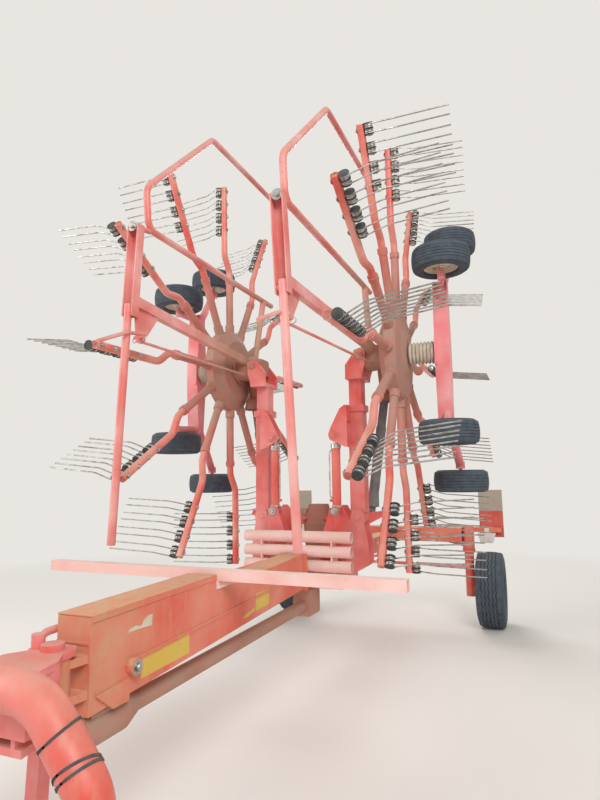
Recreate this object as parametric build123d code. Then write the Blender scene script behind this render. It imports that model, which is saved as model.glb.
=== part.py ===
from build123d import *
import math
import os

# Twin rotor rake folded for the road. Millimetres, +Z up, front of the machine towards -Y.
# Places along the machine are given from the rotor axis, and ROTOR_Y centres the whole machine on Y.

# Driving dimensions
ROTOR_Y = 50.0
ROTOR_Z = 2480.0
FIT = 0.05
SEAT = 0.3
PLAY = 2.0

# Front beam, a tapered welded box
SWIVEL_Y = -2530.0
BEAM_HALF = 80.0
BEAM_FRONT = SWIVEL_Y + 100
BEAM_REAR = -360.0
BEAM_TOP_FRONT = 990.0
BEAM_TOP_REAR = 1050.0
BEAM_LOW_FRONT = 735.0
BEAM_LOW_REAR = 815.0
BEAM_WALL = 8.0
BEAM_CAP_TOP = 1078.0
CROSSBAR_Y = -1500.0
CROSSBAR_HALF = 1050.0
CROSSBAR_SIZE = 56.0

# Headstock with its vertical swivel
SWIVEL_PIN_R = 30.0
SWIVEL_EYE_HALF = 88.0
SWIVEL_PLATE = 24.0
ARCH_Y = SWIVEL_Y - 260
ARCH_R = 65.0
ARCH_TOP_Z = 950.0
ARCH_FOOT_X = 430.0
ARCH_FOOT_Z = 560.0
LINK_PIN_R = 14.0
LINK_PIN_LENGTH = 90.0
INPUT_SHAFT_R = 17.45
INPUT_SHAFT_LENGTH = 90.0
DRIVE_Z = 650.0

# Steering linkage
STEER_X = 125.0
STEER_TOP_Z = 1015.0
STEER_LOW_Z = 745.0
STEER_R = 15.0
HEAD_LEVER = 64.0
CRANK_ARM = 130.0
KNUCKLE_ARM = 170.0
TIE_Z = 640.0
TIE_R = 16.0

# Rear carriage with its two transport wheels
AXLE_Y = 2370.0
AXLE_Z = 385.0
AXLE_BEAM_Z = 945.0
TYRE_R = 385.0
TYRE_WIDTH = 280.0
RIM_R = 197.0
TRACK_HALF = 1116.0
LEG_R = 48.0
LEG_TO_TYRE = 23.0
KINGPIN_X = TRACK_HALF - TYRE_WIDTH / 2 - LEG_TO_TYRE - LEG_R
KINGPIN_R = 34.0
KINGPIN_LOW = 800.0
KINGPIN_TOP = 1040.0
AXLE_DEPTH = 150.0
RAIL_Y = AXLE_Y + AXLE_DEPTH / 2 + 115
SPINE_HALF = 70.0
SPINE_Z = 890.0
SPINE_HEIGHT = 170.0

# Centre frame, fold pivots and lift cylinders
FRAME_HALF_X = 300.0
FRAME_HALF_Y = 190.0
FRAME_LOW = 790.0
FRAME_TOP = 980.0
PIVOT_X = 391.0
PIVOT_Z = 1287.0
PIVOT_R = 22.0
LUG_PLATE = 12.0
ARM_HALF_Y = 60.0
ARM_HALF_X = 55.0
ARM_WALL = 6.0
ARM_TOP = 2120.0
LUG_GAP = 6.0
HEAD_HALF_X = ARM_HALF_X - ARM_WALL - SEAT
HEAD_HALF_Y = ARM_HALF_Y - ARM_WALL - SEAT
HEAD_LOW = 1370.0
CYL_X = 250.0
CYL_FOOT_Z = 1330.0
CYL_HEAD_Z = 1890.0
CYL_R = 33.0
CYL_ROD_R = 18.0
CYL_PIN_R = 15.0
CYL_GAP = 6.0

# Drive shafts from the splitter gearbox up to the rotor gearboxes
SHAFT_Y = 170.0
SHAFT_FOOT_X = 430.0
SHAFT_HEAD_X = 570.0
SHAFT_HEAD_Z = 2230.0
SHAFT_BALL = 33.5
SHAFT_OUTER_R = 38.0
SHAFT_WALL = 4.0
SHAFT_INNER_R = SHAFT_OUTER_R - SHAFT_WALL - SEAT
BELL_MOUTH_R = 90.0
BELL_TOP_R = 68.0
BELL_LENGTH = 90.0
BELL_DROP = 70.0
BELL_WALL = 5.0

# Carriage of one rotor: gearbox, column and wheel beam
TILT_X = 451.0
GEARBOX_HALF_Y = 95.0
HUB_X = 640.0
HUB_R = 335.0
COLUMN_R = 42.0
BEAM2_X = 1052.0
BEAM2_HALF = 520.0
SMALL_R = 203.0
SMALL_WIDTH = 165.0
SMALL_RIM_R = 102.0
SMALL_X = 1093.0
SMALL_AXLE_R = 14.0
# Each wheel of the carriage: along the machine, sideways from the rotor axis
SMALL_WHEELS = {"front": (-220.0, 610.0), "rear": (340.0, 940.0)}

# Rotor with its tine arms
ARM_COUNT = 12
ARM_PHASE = 1.0
ARM_X = 722.0
ARM_TUBE_R = 26.0
ARM_KINK_START = 860.0
ARM_KINK_END = 1000.0
ARM_PLUG = 800.0
ARM_TIP = 1600.0
ARM_OFFSET = 85.0
TINE_UNITS = 4
TINE_FIRST = 1220.0
TINE_STEP = 115.0
TINE_SPREAD = 38.0
TINE_SIZE = 9.0
TINE_TIP_X = 1268.0
TINE_KNEE_X = 940.0
TINE_LEAN = 90.0
COIL_R = 33.0

# Guard frame in front of each rotor
GUARD_Y = -1600.0
GUARD_TOP_X = 456.0
GUARD_FOOT_X = 553.0
GUARD_TOP_Z = 3057.0
GUARD_FOOT_Z = 1225.0
GUARD_R = 23.0
CHANNEL_LENGTH = 540.0
STAY_Z = 2600.0
BOW_X = 450.0
BOW_R = 21.0

# Parking stand
STAND_X = -230.0
STAND_Y = BEAM_FRONT + 100
STAND_FOOT_LEAD = 30.0
STAND_TOP_Z = 830.0

os.makedirs("parts", exist_ok=True)


def point(x, y, z):
    """A place given sideways, from the rotor axis along the machine, and up."""
    return Vector(x, ROTOR_Y + y, z)


def bar(start, end, radius):
    """A round bar between two places."""
    run = end - start
    return Solid.make_cylinder(radius, run.length, Plane(origin=start, z_dir=run))


def tube(start, end, radius, wall):
    """A round tube open at both ends."""
    return bar(start, end, radius) - bar(start, end, radius - wall)


def bent_bar(places, bends, radius):
    """A round bar along straight runs joined by tangent arcs."""
    path = FilletPolyline(*places, radius=bends)
    section = Plane(origin=path @ 0, z_dir=path % 0) * Circle(radius)
    return sweep(section, path=path)


def side_plate(outline, x, thick):
    """A plate standing fore and aft; its outline gives (along, up) pairs."""
    plane = Plane(origin=(x, ROTOR_Y, 0), x_dir=(0, 1, 0), z_dir=(1, 0, 0))
    return extrude(plane * make_face(Polyline(*outline, close=True)), amount=thick / 2, both=True)


def cross_plate(outline, y, thick):
    """A plate standing across the machine; its outline gives (sideways, up) pairs."""
    plane = Plane(origin=(0, ROTOR_Y + y, 0), x_dir=(1, 0, 0), z_dir=(0, -1, 0))
    return extrude(plane * make_face(Polyline(*outline, close=True)), amount=thick / 2, both=True)


def flat_plate(outline, z, thick):
    """A plate lying flat; its outline gives (sideways, along) pairs."""
    plane = Plane(origin=(0, ROTOR_Y, z))
    return extrude(plane * make_face(Polyline(*outline, close=True)), amount=thick / 2, both=True)


def block(low, high):
    """A block between two opposite corners."""
    size = high - low
    return Pos(*(low + high) * 0.5) * Box(*size)


def box_beam(start, end, size_start, size_end, wall, side=(1, 0, 0)):
    """A straight box section whose width and height may taper, hollow and open at both ends."""
    inner_start = (size_start[0] - 2 * wall, size_start[1] - 2 * wall)
    inner_end = (size_end[0] - 2 * wall, size_end[1] - 2 * wall)
    outer = taper_bar(start, end, size_start, size_end, side)
    return outer - taper_bar(start, end, inner_start, inner_end, side)


def taper_bar(start, end, size_start, size_end, side=(1, 0, 0)):
    """A straight solid bar with a rectangular section that may taper."""
    run = end - start
    near = Plane(origin=start, x_dir=side, z_dir=run)
    far = Plane(origin=end, x_dir=side, z_dir=run)
    return loft([near * Rectangle(*size_start), far * Rectangle(*size_end)])


def cut(body, *tools):
    """A body with several holes taken out of it."""
    for tool in tools:
        body = body - tool
    return body


def join(*pieces):
    """Pieces welded to one another."""
    body = pieces[0]
    for piece in pieces[1:]:
        body = body + piece
    return body


def save(name, *solids):
    """One file for each sub-part."""
    found = []
    for shape in solids:
        found.extend(shape.solids())
    export_step(Compound(children=found) if len(found) > 1 else found[0], f"parts/{name}.step")


def save_pair(name, *solids):
    """The same sub-part on the right side and mirrored on the left."""
    save(name + "_right", *solids)
    save(name + "_left", *[mirror(shape, about=Plane.YZ) for shape in solids])


def eye_middle():
    """Height of the middle of the swivel eye at the beam's front."""
    return (BEAM_TOP_FRONT + BEAM_LOW_FRONT) / 2 + 10


def front_beam():
    """Tapered box beam with a rear end plate and a swivel eye at its front."""
    middle_front = (BEAM_TOP_FRONT + BEAM_LOW_FRONT) / 2
    middle_rear = (BEAM_TOP_REAR + BEAM_LOW_REAR) / 2
    box = box_beam(
        point(0, BEAM_FRONT, middle_front),
        point(0, BEAM_REAR, middle_rear),
        (2 * BEAM_HALF, BEAM_TOP_FRONT - BEAM_LOW_FRONT),
        (2 * BEAM_HALF, BEAM_TOP_REAR - BEAM_LOW_REAR),
        BEAM_WALL,
    )
    seam = []
    for side in (-1, 1):
        rib_low = middle_front - 5
        rib_high = middle_rear - 5
        rib = side_plate(
            [
                (BEAM_FRONT + 190, rib_low + 10),
                (BEAM_REAR, rib_high),
                (BEAM_REAR, rib_high - 12),
                (BEAM_FRONT + 190, rib_low - 4),
            ],
            side * (BEAM_HALF + 3),
            6,
        )
        seam.append(rib)
    eye_z = eye_middle()
    eye = bar(point(0, SWIVEL_Y, eye_z - SWIVEL_EYE_HALF), point(0, SWIVEL_Y, eye_z + SWIVEL_EYE_HALF), 62)
    cheeks = []
    for level in (eye_z - 62, eye_z + 62):
        cheeks.append(
            flat_plate(
                [
                    (-52, SWIVEL_Y),
                    (52, SWIVEL_Y),
                    (BEAM_HALF, BEAM_FRONT + 40),
                    (-BEAM_HALF, BEAM_FRONT + 40),
                ],
                level,
                30,
            )
        )
    nose = block(
        point(-BEAM_HALF, BEAM_FRONT, BEAM_LOW_FRONT),
        point(BEAM_HALF, BEAM_FRONT + 10, BEAM_TOP_FRONT),
    )
    end_plate = block(
        point(-BEAM_HALF - 20, BEAM_REAR, BEAM_LOW_REAR - 15),
        point(BEAM_HALF + 20, BEAM_REAR + 16, BEAM_TOP_REAR),
    )
    hanger = []
    for side in (-1, 1):
        skirt = side_plate(
            [
                (BEAM_FRONT + 30, BEAM_LOW_FRONT + 60),
                (BEAM_FRONT + 210, BEAM_LOW_FRONT + 70),
                (BEAM_FRONT + 210, BEAM_LOW_FRONT - 10),
                (BEAM_FRONT + 120, BEAM_LOW_FRONT - 10),
            ],
            side * (BEAM_HALF + 6),
            12,
        )
        hanger.append(skirt)
        boss_y = BEAM_FRONT + 235
        boss_z = BEAM_LOW_FRONT + 107
        boss_end = point(side * (BEAM_HALF + 28), boss_y, boss_z)
        boss = bar(point(side * BEAM_HALF, boss_y, boss_z), boss_end, 34)
        hanger.append(boss)
    cap_rear = CROSSBAR_Y - 50
    slope = (BEAM_TOP_REAR - BEAM_TOP_FRONT) / (BEAM_REAR - BEAM_FRONT)
    cap_low = BEAM_TOP_FRONT + slope * (cap_rear - BEAM_FRONT)
    cap = side_plate(
        [
            (BEAM_FRONT, BEAM_TOP_FRONT - 4),
            (BEAM_FRONT, BEAM_CAP_TOP),
            (cap_rear, BEAM_CAP_TOP),
            (cap_rear, cap_low - 4),
        ],
        0,
        2 * BEAM_HALF,
    )
    body = join(box, nose, end_plate, eye, cap, *cheeks, *seam, *hanger)
    pin_hole = bar(point(0, SWIVEL_Y, 500), point(0, SWIVEL_Y, 1200), SWIVEL_PIN_R + FIT)
    return cut(body, pin_hole)


def stand_bracket():
    """Fork on the left of the beam that carries the parking stand."""
    inner = -BEAM_HALF
    socket_low = STAND_TOP_Z - 60
    arm = block(
        point(STAND_X + 46, STAND_Y - 35, STAND_TOP_Z - 25),
        point(inner, STAND_Y + 35, STAND_TOP_Z + 55),
    )
    cheek_gap = 34.0
    cheeks = []
    for side in (-1, 1):
        x = STAND_X + side * (cheek_gap + 6)
        outline = [
            (STAND_Y - 40, STAND_TOP_Z + 55),
            (STAND_Y + 40, STAND_TOP_Z + 55),
            (STAND_Y + 45, STAND_TOP_Z),
            (STAND_Y + 22, socket_low + 12),
            (STAND_Y - 22, socket_low + 12),
            (STAND_Y - 45, STAND_TOP_Z),
        ]
        cheeks.append(side_plate(outline, x, 12))
    cap = block(
        point(STAND_X - cheek_gap - 12, STAND_Y - 40, STAND_TOP_Z + 43),
        point(STAND_X + cheek_gap + 12, STAND_Y + 40, STAND_TOP_Z + 55),
    )
    body = join(arm, *cheeks, cap)
    hole = bar(point(STAND_X - 80, STAND_Y, STAND_TOP_Z), point(STAND_X + 48, STAND_Y, STAND_TOP_Z), 12 + FIT)
    return cut(body, hole)


def parking_stand():
    """Square leg with a dished foot plate, hinged at the top."""
    foot_y = STAND_Y - STAND_FOOT_LEAD
    outer = box_beam(
        point(STAND_X, STAND_Y - 2, STAND_TOP_Z - 30),
        point(STAND_X, foot_y, 14),
        (60, 60),
        (60, 60),
        5,
    )
    knuckle = block(
        point(STAND_X - 32, STAND_Y - 30, STAND_TOP_Z - 45),
        point(STAND_X + 32, STAND_Y + 28, STAND_TOP_Z + 14),
    )
    pin = bar(point(STAND_X - 52, STAND_Y, STAND_TOP_Z), point(STAND_X + 46, STAND_Y, STAND_TOP_Z), 12)
    plate = Pos(*point(STAND_X, foot_y, 8)) * Box(190, 160, 16)
    plate = fillet(plate.edges().filter_by(Axis.Z), 30)
    return join(outer, knuckle, pin, plate)


def front_crossbar():
    """Straight square bar lying on the beam, seated on a small saddle with two gussets."""
    slope = (BEAM_TOP_REAR - BEAM_TOP_FRONT) / (BEAM_REAR - BEAM_FRONT)
    seat_z = BEAM_TOP_FRONT + slope * (CROSSBAR_Y - BEAM_FRONT)
    half = CROSSBAR_SIZE / 2
    centre_z = seat_z + 42 + half
    rail = box_beam(
        point(-CROSSBAR_HALF, CROSSBAR_Y, centre_z),
        point(CROSSBAR_HALF, CROSSBAR_Y, centre_z),
        (CROSSBAR_SIZE, CROSSBAR_SIZE),
        (CROSSBAR_SIZE, CROSSBAR_SIZE),
        4,
        side=(0, 1, 0),
    )
    saddle = block(
        point(-BEAM_HALF, CROSSBAR_Y - 45, seat_z + 2), point(BEAM_HALF, CROSSBAR_Y + 45, seat_z + 42)
    )
    gussets = []
    for side in (-1, 1):
        outline = [
            (side * BEAM_HALF, centre_z - half),
            (side * (BEAM_HALF + 90), centre_z - half),
            (side * BEAM_HALF, seat_z + 2),
        ]
        gussets.append(cross_plate(outline, CROSSBAR_Y, 10))
    return join(rail, saddle, *gussets)


def tube_rack():
    """Three long round tubes lying across the machine, held by an end plate at each side."""
    radius = 40.0
    half = 410.0
    y = -290.0
    levels = (960.0, 1060.0, 1160.0)
    tubes = [tube(point(-half, y, z), point(half, y, z), radius, 5) for z in levels]
    brackets = []
    for side in (-1, 1):
        outline = [
            (y - 34, levels[0] - 30),
            (y + 34, levels[0] - 50),
            (FRAME_HALF_Y * -1, levels[0] - 50),
            (FRAME_HALF_Y * -1, levels[0] + 20),
            (y + 34, levels[2] + 30),
            (y - 34, levels[2] + 30),
        ]
        plate = side_plate(outline, side * (FRAME_HALF_X - 30), 10)
        bores = [bar(point(side * 200, y, z), point(side * 350, y, z), radius - 2) for z in levels]
        brackets.append(cut(plate, *bores))
    return join(*tubes, *brackets)


def lug_outline():
    """Upright plate of the centre frame that holds the fold pivot, seen from the front."""
    return [
        (110, FRAME_TOP - 20),
        (150, 1150),
        (CYL_X - 45, CYL_FOOT_Z + 10),
        (CYL_X - 20, CYL_FOOT_Z + 38),
        (CYL_X + 20, CYL_FOOT_Z + 38),
        (PIVOT_X - 62, PIVOT_Z - 20),
        (PIVOT_X - 40, PIVOT_Z + 48),
        (PIVOT_X + 30, PIVOT_Z + 52),
        (PIVOT_X + 56, PIVOT_Z + 15),
        (PIVOT_X + 50, PIVOT_Z - 60),
        (PIVOT_X + 76, 1090),
        (PIVOT_X + 76, 950),
        (PIVOT_X + 40, 925),
        (FRAME_HALF_X - 20, FRAME_LOW + 60),
    ]


def cylinder_plate_outline():
    """Front gusset plate that holds the foot pin of the lift cylinder."""
    return [
        (CYL_X - 120, FRAME_TOP - 20),
        (CYL_X - 105, 1150),
        (CYL_X - 38, CYL_FOOT_Z + 22),
        (CYL_X, CYL_FOOT_Z + 40),
        (CYL_X + 36, CYL_FOOT_Z + 20),
        (CYL_X + 50, 1150),
        (CYL_X + 50, FRAME_TOP - 20),
    ]


LUG_Y = ARM_HALF_Y + LUG_GAP + LUG_PLATE / 2
CYL_Y = -(LUG_Y + LUG_PLATE / 2 + CYL_GAP + CYL_R)
CYL_PLATE_Y = CYL_Y - CYL_R - CYL_GAP - LUG_PLATE / 2


def centre_frame():
    """Welded centre box with the fold lugs and cylinder plates of both sides."""
    core = box_beam(
        point(-FRAME_HALF_X, 0, (FRAME_LOW + FRAME_TOP) / 2),
        point(FRAME_HALF_X, 0, (FRAME_LOW + FRAME_TOP) / 2),
        (2 * FRAME_HALF_Y, FRAME_TOP - FRAME_LOW),
        (2 * FRAME_HALF_Y, FRAME_TOP - FRAME_LOW),
        10,
        side=(0, 1, 0),
    )
    ends = [
        block(
            point(side * FRAME_HALF_X - 5, -FRAME_HALF_Y, FRAME_LOW),
            point(side * FRAME_HALF_X + 5, FRAME_HALF_Y, FRAME_TOP),
        )
        for side in (-1, 1)
    ]
    pieces = [core, *ends]
    front_link = block(
        point(-BEAM_HALF - 20, BEAM_REAR + 16, BEAM_LOW_REAR),
        point(BEAM_HALF + 20, -FRAME_HALF_Y, BEAM_LOW_REAR + 90),
    )
    pieces.append(front_link)
    mirrored = [(-x, z) for x, z in lug_outline()]
    mirrored_front = [(-x, z) for x, z in cylinder_plate_outline()]
    for y in (-LUG_Y, LUG_Y):
        pieces.append(cross_plate(lug_outline(), y, LUG_PLATE))
        pieces.append(cross_plate(mirrored, y, LUG_PLATE))
    pieces.append(cross_plate(cylinder_plate_outline(), CYL_PLATE_Y, LUG_PLATE))
    pieces.append(cross_plate(mirrored_front, CYL_PLATE_Y, LUG_PLATE))
    wing = [
        (60, 1262),
        (190, 1312),
        (PIVOT_X + 30, 1312),
        (PIVOT_X + 150, 1325),
        (PIVOT_X + 165, 1290),
        (PIVOT_X + 40, 1225),
        (190, 1215),
    ]
    for side in (-1, 1):
        pieces.append(cross_plate([(side * x, z) for x, z in wing], LUG_Y + LUG_PLATE, LUG_PLATE))
        tie = block(
            point(min(side * 130, side * 300), LUG_Y + LUG_PLATE / 2, FRAME_TOP - 30),
            point(max(side * 130, side * 300), FRAME_HALF_Y, FRAME_TOP + 60),
        )
        pieces.append(tie)
        pieces.append(
            bar(point(side * 150, -LUG_Y, 1080), point(side * 150, LUG_Y, 1080), 24)
        )
    body = join(*pieces)
    holes = []
    for side in (-1, 1):
        pivot_front = point(side * PIVOT_X, -120, PIVOT_Z)
        pivot_rear = point(side * PIVOT_X, 120, PIVOT_Z)
        holes.append(bar(pivot_front, pivot_rear, PIVOT_R + FIT))
        holes.append(
            bar(
                point(side * CYL_X, CYL_PLATE_Y - 20, CYL_FOOT_Z),
                point(side * CYL_X, -LUG_Y + 20, CYL_FOOT_Z),
                CYL_PIN_R + FIT,
            )
        )
    return cut(body, *holes)


def centre_gearbox():
    """Splitter gearbox behind the fold lugs, with one output shaft to each side."""
    low = FRAME_TOP
    housing = loft(
        [
            Plane(origin=point(0, SHAFT_Y, low)) * RectangleRounded(190, 140, 25),
            Plane(origin=point(0, SHAFT_Y, low + 240)) * RectangleRounded(230, 150, 40),
            Plane(origin=point(0, SHAFT_Y, low + 390)) * RectangleRounded(150, 110, 40),
        ],
        ruled=True,
    )
    pieces = [housing]
    for side in (-1, 1):
        pieces.append(bar(point(side * 90, SHAFT_Y, PIVOT_Z), point(side * 190, SHAFT_Y, PIVOT_Z), 52))
        pieces.append(
            bar(point(side * 180, SHAFT_Y, PIVOT_Z), point(side * (SHAFT_FOOT_X - 34), SHAFT_Y, PIVOT_Z), 22)
        )
        pieces.append(
            bar(
                point(side * (SHAFT_FOOT_X - 60), SHAFT_Y, PIVOT_Z),
                point(side * (SHAFT_FOOT_X - 34), SHAFT_Y, PIVOT_Z),
                36,
            )
        )
    return join(*pieces)


def drive_line():
    """Bearing housing under the beam's nose with the input shaft and the tube back to the frame."""
    front = BEAM_FRONT + 20
    bell = 74.0
    housing = bar(point(0, front, DRIVE_Z + 10), point(0, front + 230, DRIVE_Z + 10), bell)
    hollow = bar(point(0, front - 1, DRIVE_Z + 10), point(0, front + 60, DRIVE_Z + 10), bell - 18)
    neck = Solid.make_cone(bell, 44, 90, Plane(origin=point(0, front + 230, DRIVE_Z + 10), z_dir=(0, 1, 0)))
    tube_end = -FRAME_HALF_Y + 40
    run = bar(point(0, front + 300, DRIVE_Z + 10), point(0, tube_end, DRIVE_Z + 10), 40)
    box = block(point(-70, tube_end - 60, DRIVE_Z - 60), point(70, tube_end + 120, FRAME_LOW))
    shaft_end = point(0, front + 60 - INPUT_SHAFT_LENGTH, DRIVE_Z + 10)
    shaft = bar(point(0, front + 80, DRIVE_Z + 10), shaft_end, INPUT_SHAFT_R)
    saddle = block(
        point(-60, front + 20, DRIVE_Z + 60), point(60, front + 200, BEAM_LOW_FRONT + 9)
    )
    body = join(cut(housing, hollow), neck, run, fillet(box.edges().filter_by(Axis.Y), 20), shaft)
    return cut(join(body, saddle), front_beam())


def rear_spine():
    """Box beam from the centre frame back to the axle beam, with a gusset under its front end."""
    front = FRAME_HALF_Y
    rear = AXLE_Y - 75
    box = box_beam(
        point(0, front, SPINE_Z),
        point(0, rear, SPINE_Z),
        (2 * SPINE_HALF + 20, SPINE_HEIGHT),
        (2 * SPINE_HALF, SPINE_HEIGHT - 30),
        8,
    )
    gussets = []
    for side in (-1, 1):
        outline = [
            (side * SPINE_HALF, front),
            (side * (SPINE_HALF + 190), front),
            (side * SPINE_HALF, front + 330),
        ]
        for level in (SPINE_Z - 68, SPINE_Z + 68):
            gussets.append(flat_plate(outline, level, 10))
    crank_pin = bar(
        point(0, AXLE_Y - 300, STEER_LOW_Z - 34), point(0, AXLE_Y - 300, SPINE_Z - SPINE_HEIGHT / 2 + 40), 18
    )
    pad = bar(point(0, AXLE_Y - 300, STEER_LOW_Z + 20), point(0, AXLE_Y - 300, SPINE_Z - 40), 40)
    return join(box, *gussets, crank_pin, pad)


def axle_beam():
    """Cross beam of the rear carriage with a kingpin housing at each end and the rear light carrier."""
    depth = AXLE_DEPTH
    height = 150.0
    centre = box_beam(
        point(-KINGPIN_X + 60, AXLE_Y, AXLE_BEAM_Z),
        point(KINGPIN_X - 60, AXLE_Y, AXLE_BEAM_Z),
        (depth, height),
        (depth, height),
        8,
        side=(0, 1, 0),
    )
    pieces = [centre]
    for side in (-1, 1):
        housing_low = point(side * KINGPIN_X, AXLE_Y, KINGPIN_LOW)
        pieces.append(bar(housing_low, point(side * KINGPIN_X, AXLE_Y, KINGPIN_TOP), 62))
        outline = [
            (side * (KINGPIN_X - 260), AXLE_BEAM_Z - height / 2),
            (side * (KINGPIN_X - 40), AXLE_BEAM_Z - height / 2),
            (side * (KINGPIN_X - 40), KINGPIN_LOW + 15),
        ]
        pieces.append(cross_plate(outline, AXLE_Y, 14))
    rail = box_beam(
        point(-TRACK_HALF - 124, RAIL_Y, AXLE_BEAM_Z + 40),
        point(TRACK_HALF + 124, RAIL_Y, AXLE_BEAM_Z + 40),
        (50, 50),
        (50, 50),
        4,
        side=(0, 1, 0),
    )
    pieces.append(rail)
    for side in (-1, 1):
        for x in (side * 300, side * 760):
            pieces.append(
                block(
                    point(x - 25, AXLE_Y + depth / 2 - 5, AXLE_BEAM_Z + 20),
                    point(x + 25, RAIL_Y - 20, AXLE_BEAM_Z + 60),
                )
            )
    body = join(*pieces)
    for side in (-1, 1):
        bore_low = point(side * KINGPIN_X, AXLE_Y, KINGPIN_LOW - 100)
        bore_top = point(side * KINGPIN_X, AXLE_Y, KINGPIN_TOP - 10)
        body = body - bar(bore_low, bore_top, KINGPIN_R + FIT)
    return body


def light_board(side):
    """Upright rear board, with a shallow rim and a lamp housing at its foot."""
    y = RAIL_Y + 25 + 12
    low = AXLE_BEAM_Z - 40
    high = low + 515
    inner = TRACK_HALF - 106
    outer = TRACK_HALF + 146
    outline = [(side * inner, low), (side * outer, low), (side * outer, high), (side * inner, high)]
    board = cross_plate(outline, y, 24)
    recess_outline = [
        (side * (inner + 10), low + 175),
        (side * (outer - 10), low + 175),
        (side * (outer - 10), high - 10),
        (side * (inner + 10), high - 10),
    ]
    recess = cross_plate(recess_outline, y + 12, 12)
    lamp_ends = sorted((side * (inner + 20), side * (outer - 20)))
    lamp = block(point(lamp_ends[0], y + 12, low + 20), point(lamp_ends[1], y + 52, low + 150))
    lamp = fillet(lamp.edges().filter_by(Axis.Y), 14)
    return join(cut(board, recess), lamp)


def marker_plate(side):
    """White warning plate with a slanted foot, facing forward under the light carrier."""
    middle = TRACK_HALF - 33
    outline = [
        (side * (middle - 98), AXLE_BEAM_Z + 8),
        (side * (middle + 97), AXLE_BEAM_Z + 8),
        (side * (middle + 67), AXLE_BEAM_Z - 100),
        (side * (middle - 68), AXLE_BEAM_Z - 100),
    ]
    plate = cross_plate(outline, RAIL_Y - 30, 6)
    stem = cross_plate(
        [
            (side * (middle - 23), AXLE_BEAM_Z - 20),
            (side * (middle + 27), AXLE_BEAM_Z - 20),
            (side * (middle + 27), AXLE_BEAM_Z + 60),
            (side * (middle - 23), AXLE_BEAM_Z + 60),
        ],
        RAIL_Y - 27,
        4,
    )
    return join(plate, stem)


def headstock_arch():
    """Wide bent tube that reaches down on both sides to the lower link pins."""
    places = [
        point(-ARCH_FOOT_X, ARCH_Y, ARCH_FOOT_Z - 60),
        point(-ARCH_FOOT_X, ARCH_Y, ARCH_FOOT_Z + 150),
        point(-220, ARCH_Y, ARCH_TOP_Z),
        point(220, ARCH_Y, ARCH_TOP_Z),
        point(ARCH_FOOT_X, ARCH_Y, ARCH_FOOT_Z + 150),
        point(ARCH_FOOT_X, ARCH_Y, ARCH_FOOT_Z - 60),
    ]
    arch = bent_bar(places, [130, 190, 190, 130], ARCH_R)
    pieces = [arch]
    for side in (-1, 1):
        pieces.append(
            bar(
                point(side * (ARCH_FOOT_X - 80), ARCH_Y, ARCH_FOOT_Z),
                point(side * (ARCH_FOOT_X + 74), ARCH_Y, ARCH_FOOT_Z),
                34,
            )
        )
    for side in (-1, 1):
        pieces.append(
            bar(
                point(side * (ARCH_FOOT_X + 70), ARCH_Y, ARCH_FOOT_Z),
                point(side * (ARCH_FOOT_X + 74 + LINK_PIN_LENGTH), ARCH_Y, ARCH_FOOT_Z),
                LINK_PIN_R,
            )
        )
    return join(*pieces)


def swivel_head():
    """Fork behind the arch: upright swivel pin, a window in each cheek and the steering lever."""
    eye_z = eye_middle()
    plate = SWIVEL_PLATE
    upper = eye_z + SWIVEL_EYE_HALF + PLAY + plate / 2
    lower = eye_z - SWIVEL_EYE_HALF - PLAY - plate / 2
    outline = [
        (-150, ARCH_Y + 10),
        (-118, SWIVEL_Y - 90),
        (-70, SWIVEL_Y - 20),
        (-70, SWIVEL_Y + 40),
        (-40, SWIVEL_Y + 72),
        (40, SWIVEL_Y + 72),
        (70, SWIVEL_Y + 40),
        (70, SWIVEL_Y - 20),
        (118, SWIVEL_Y - 90),
        (150, ARCH_Y + 10),
    ]
    pieces = [flat_plate(outline, upper, plate), flat_plate(outline, lower, plate)]
    for side in (-1, 1):
        cheek = side_plate(
            [
                (ARCH_Y + 10, lower - 10),
                (SWIVEL_Y - 82, lower),
                (SWIVEL_Y - 82, upper),
                (ARCH_Y + 10, upper + 10),
            ],
            side * 112,
            16,
        )
        window_y = (ARCH_Y + SWIVEL_Y) / 2 - 10
        window = bar(point(side * 90, window_y, eye_z - 30), point(side * 140, window_y, eye_z - 30), 42)
        pieces.append(cut(cheek, window))
    pin = bar(point(0, SWIVEL_Y, lower - 50), point(0, SWIVEL_Y, upper + 34), SWIVEL_PIN_R)
    cap = bar(point(0, SWIVEL_Y, upper + 12), point(0, SWIVEL_Y, upper + 34), 40)
    foot = bar(point(0, SWIVEL_Y, lower - 40), point(0, SWIVEL_Y, lower - 12), 44)
    lever = flat_plate(
        [
            (-60, SWIVEL_Y - 40),
            (-HEAD_LEVER - 30, SWIVEL_Y - 20),
            (-HEAD_LEVER - 30, SWIVEL_Y + 22),
            (-60, SWIVEL_Y + 40),
        ],
        upper + 2,
        20,
    )
    saddle = block(point(-170, ARCH_Y, eye_z - 60), point(170, ARCH_Y + 30, upper + 12))
    body = join(*pieces, pin, cap, foot, lever, saddle)
    return cut(body, headstock_arch())


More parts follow.
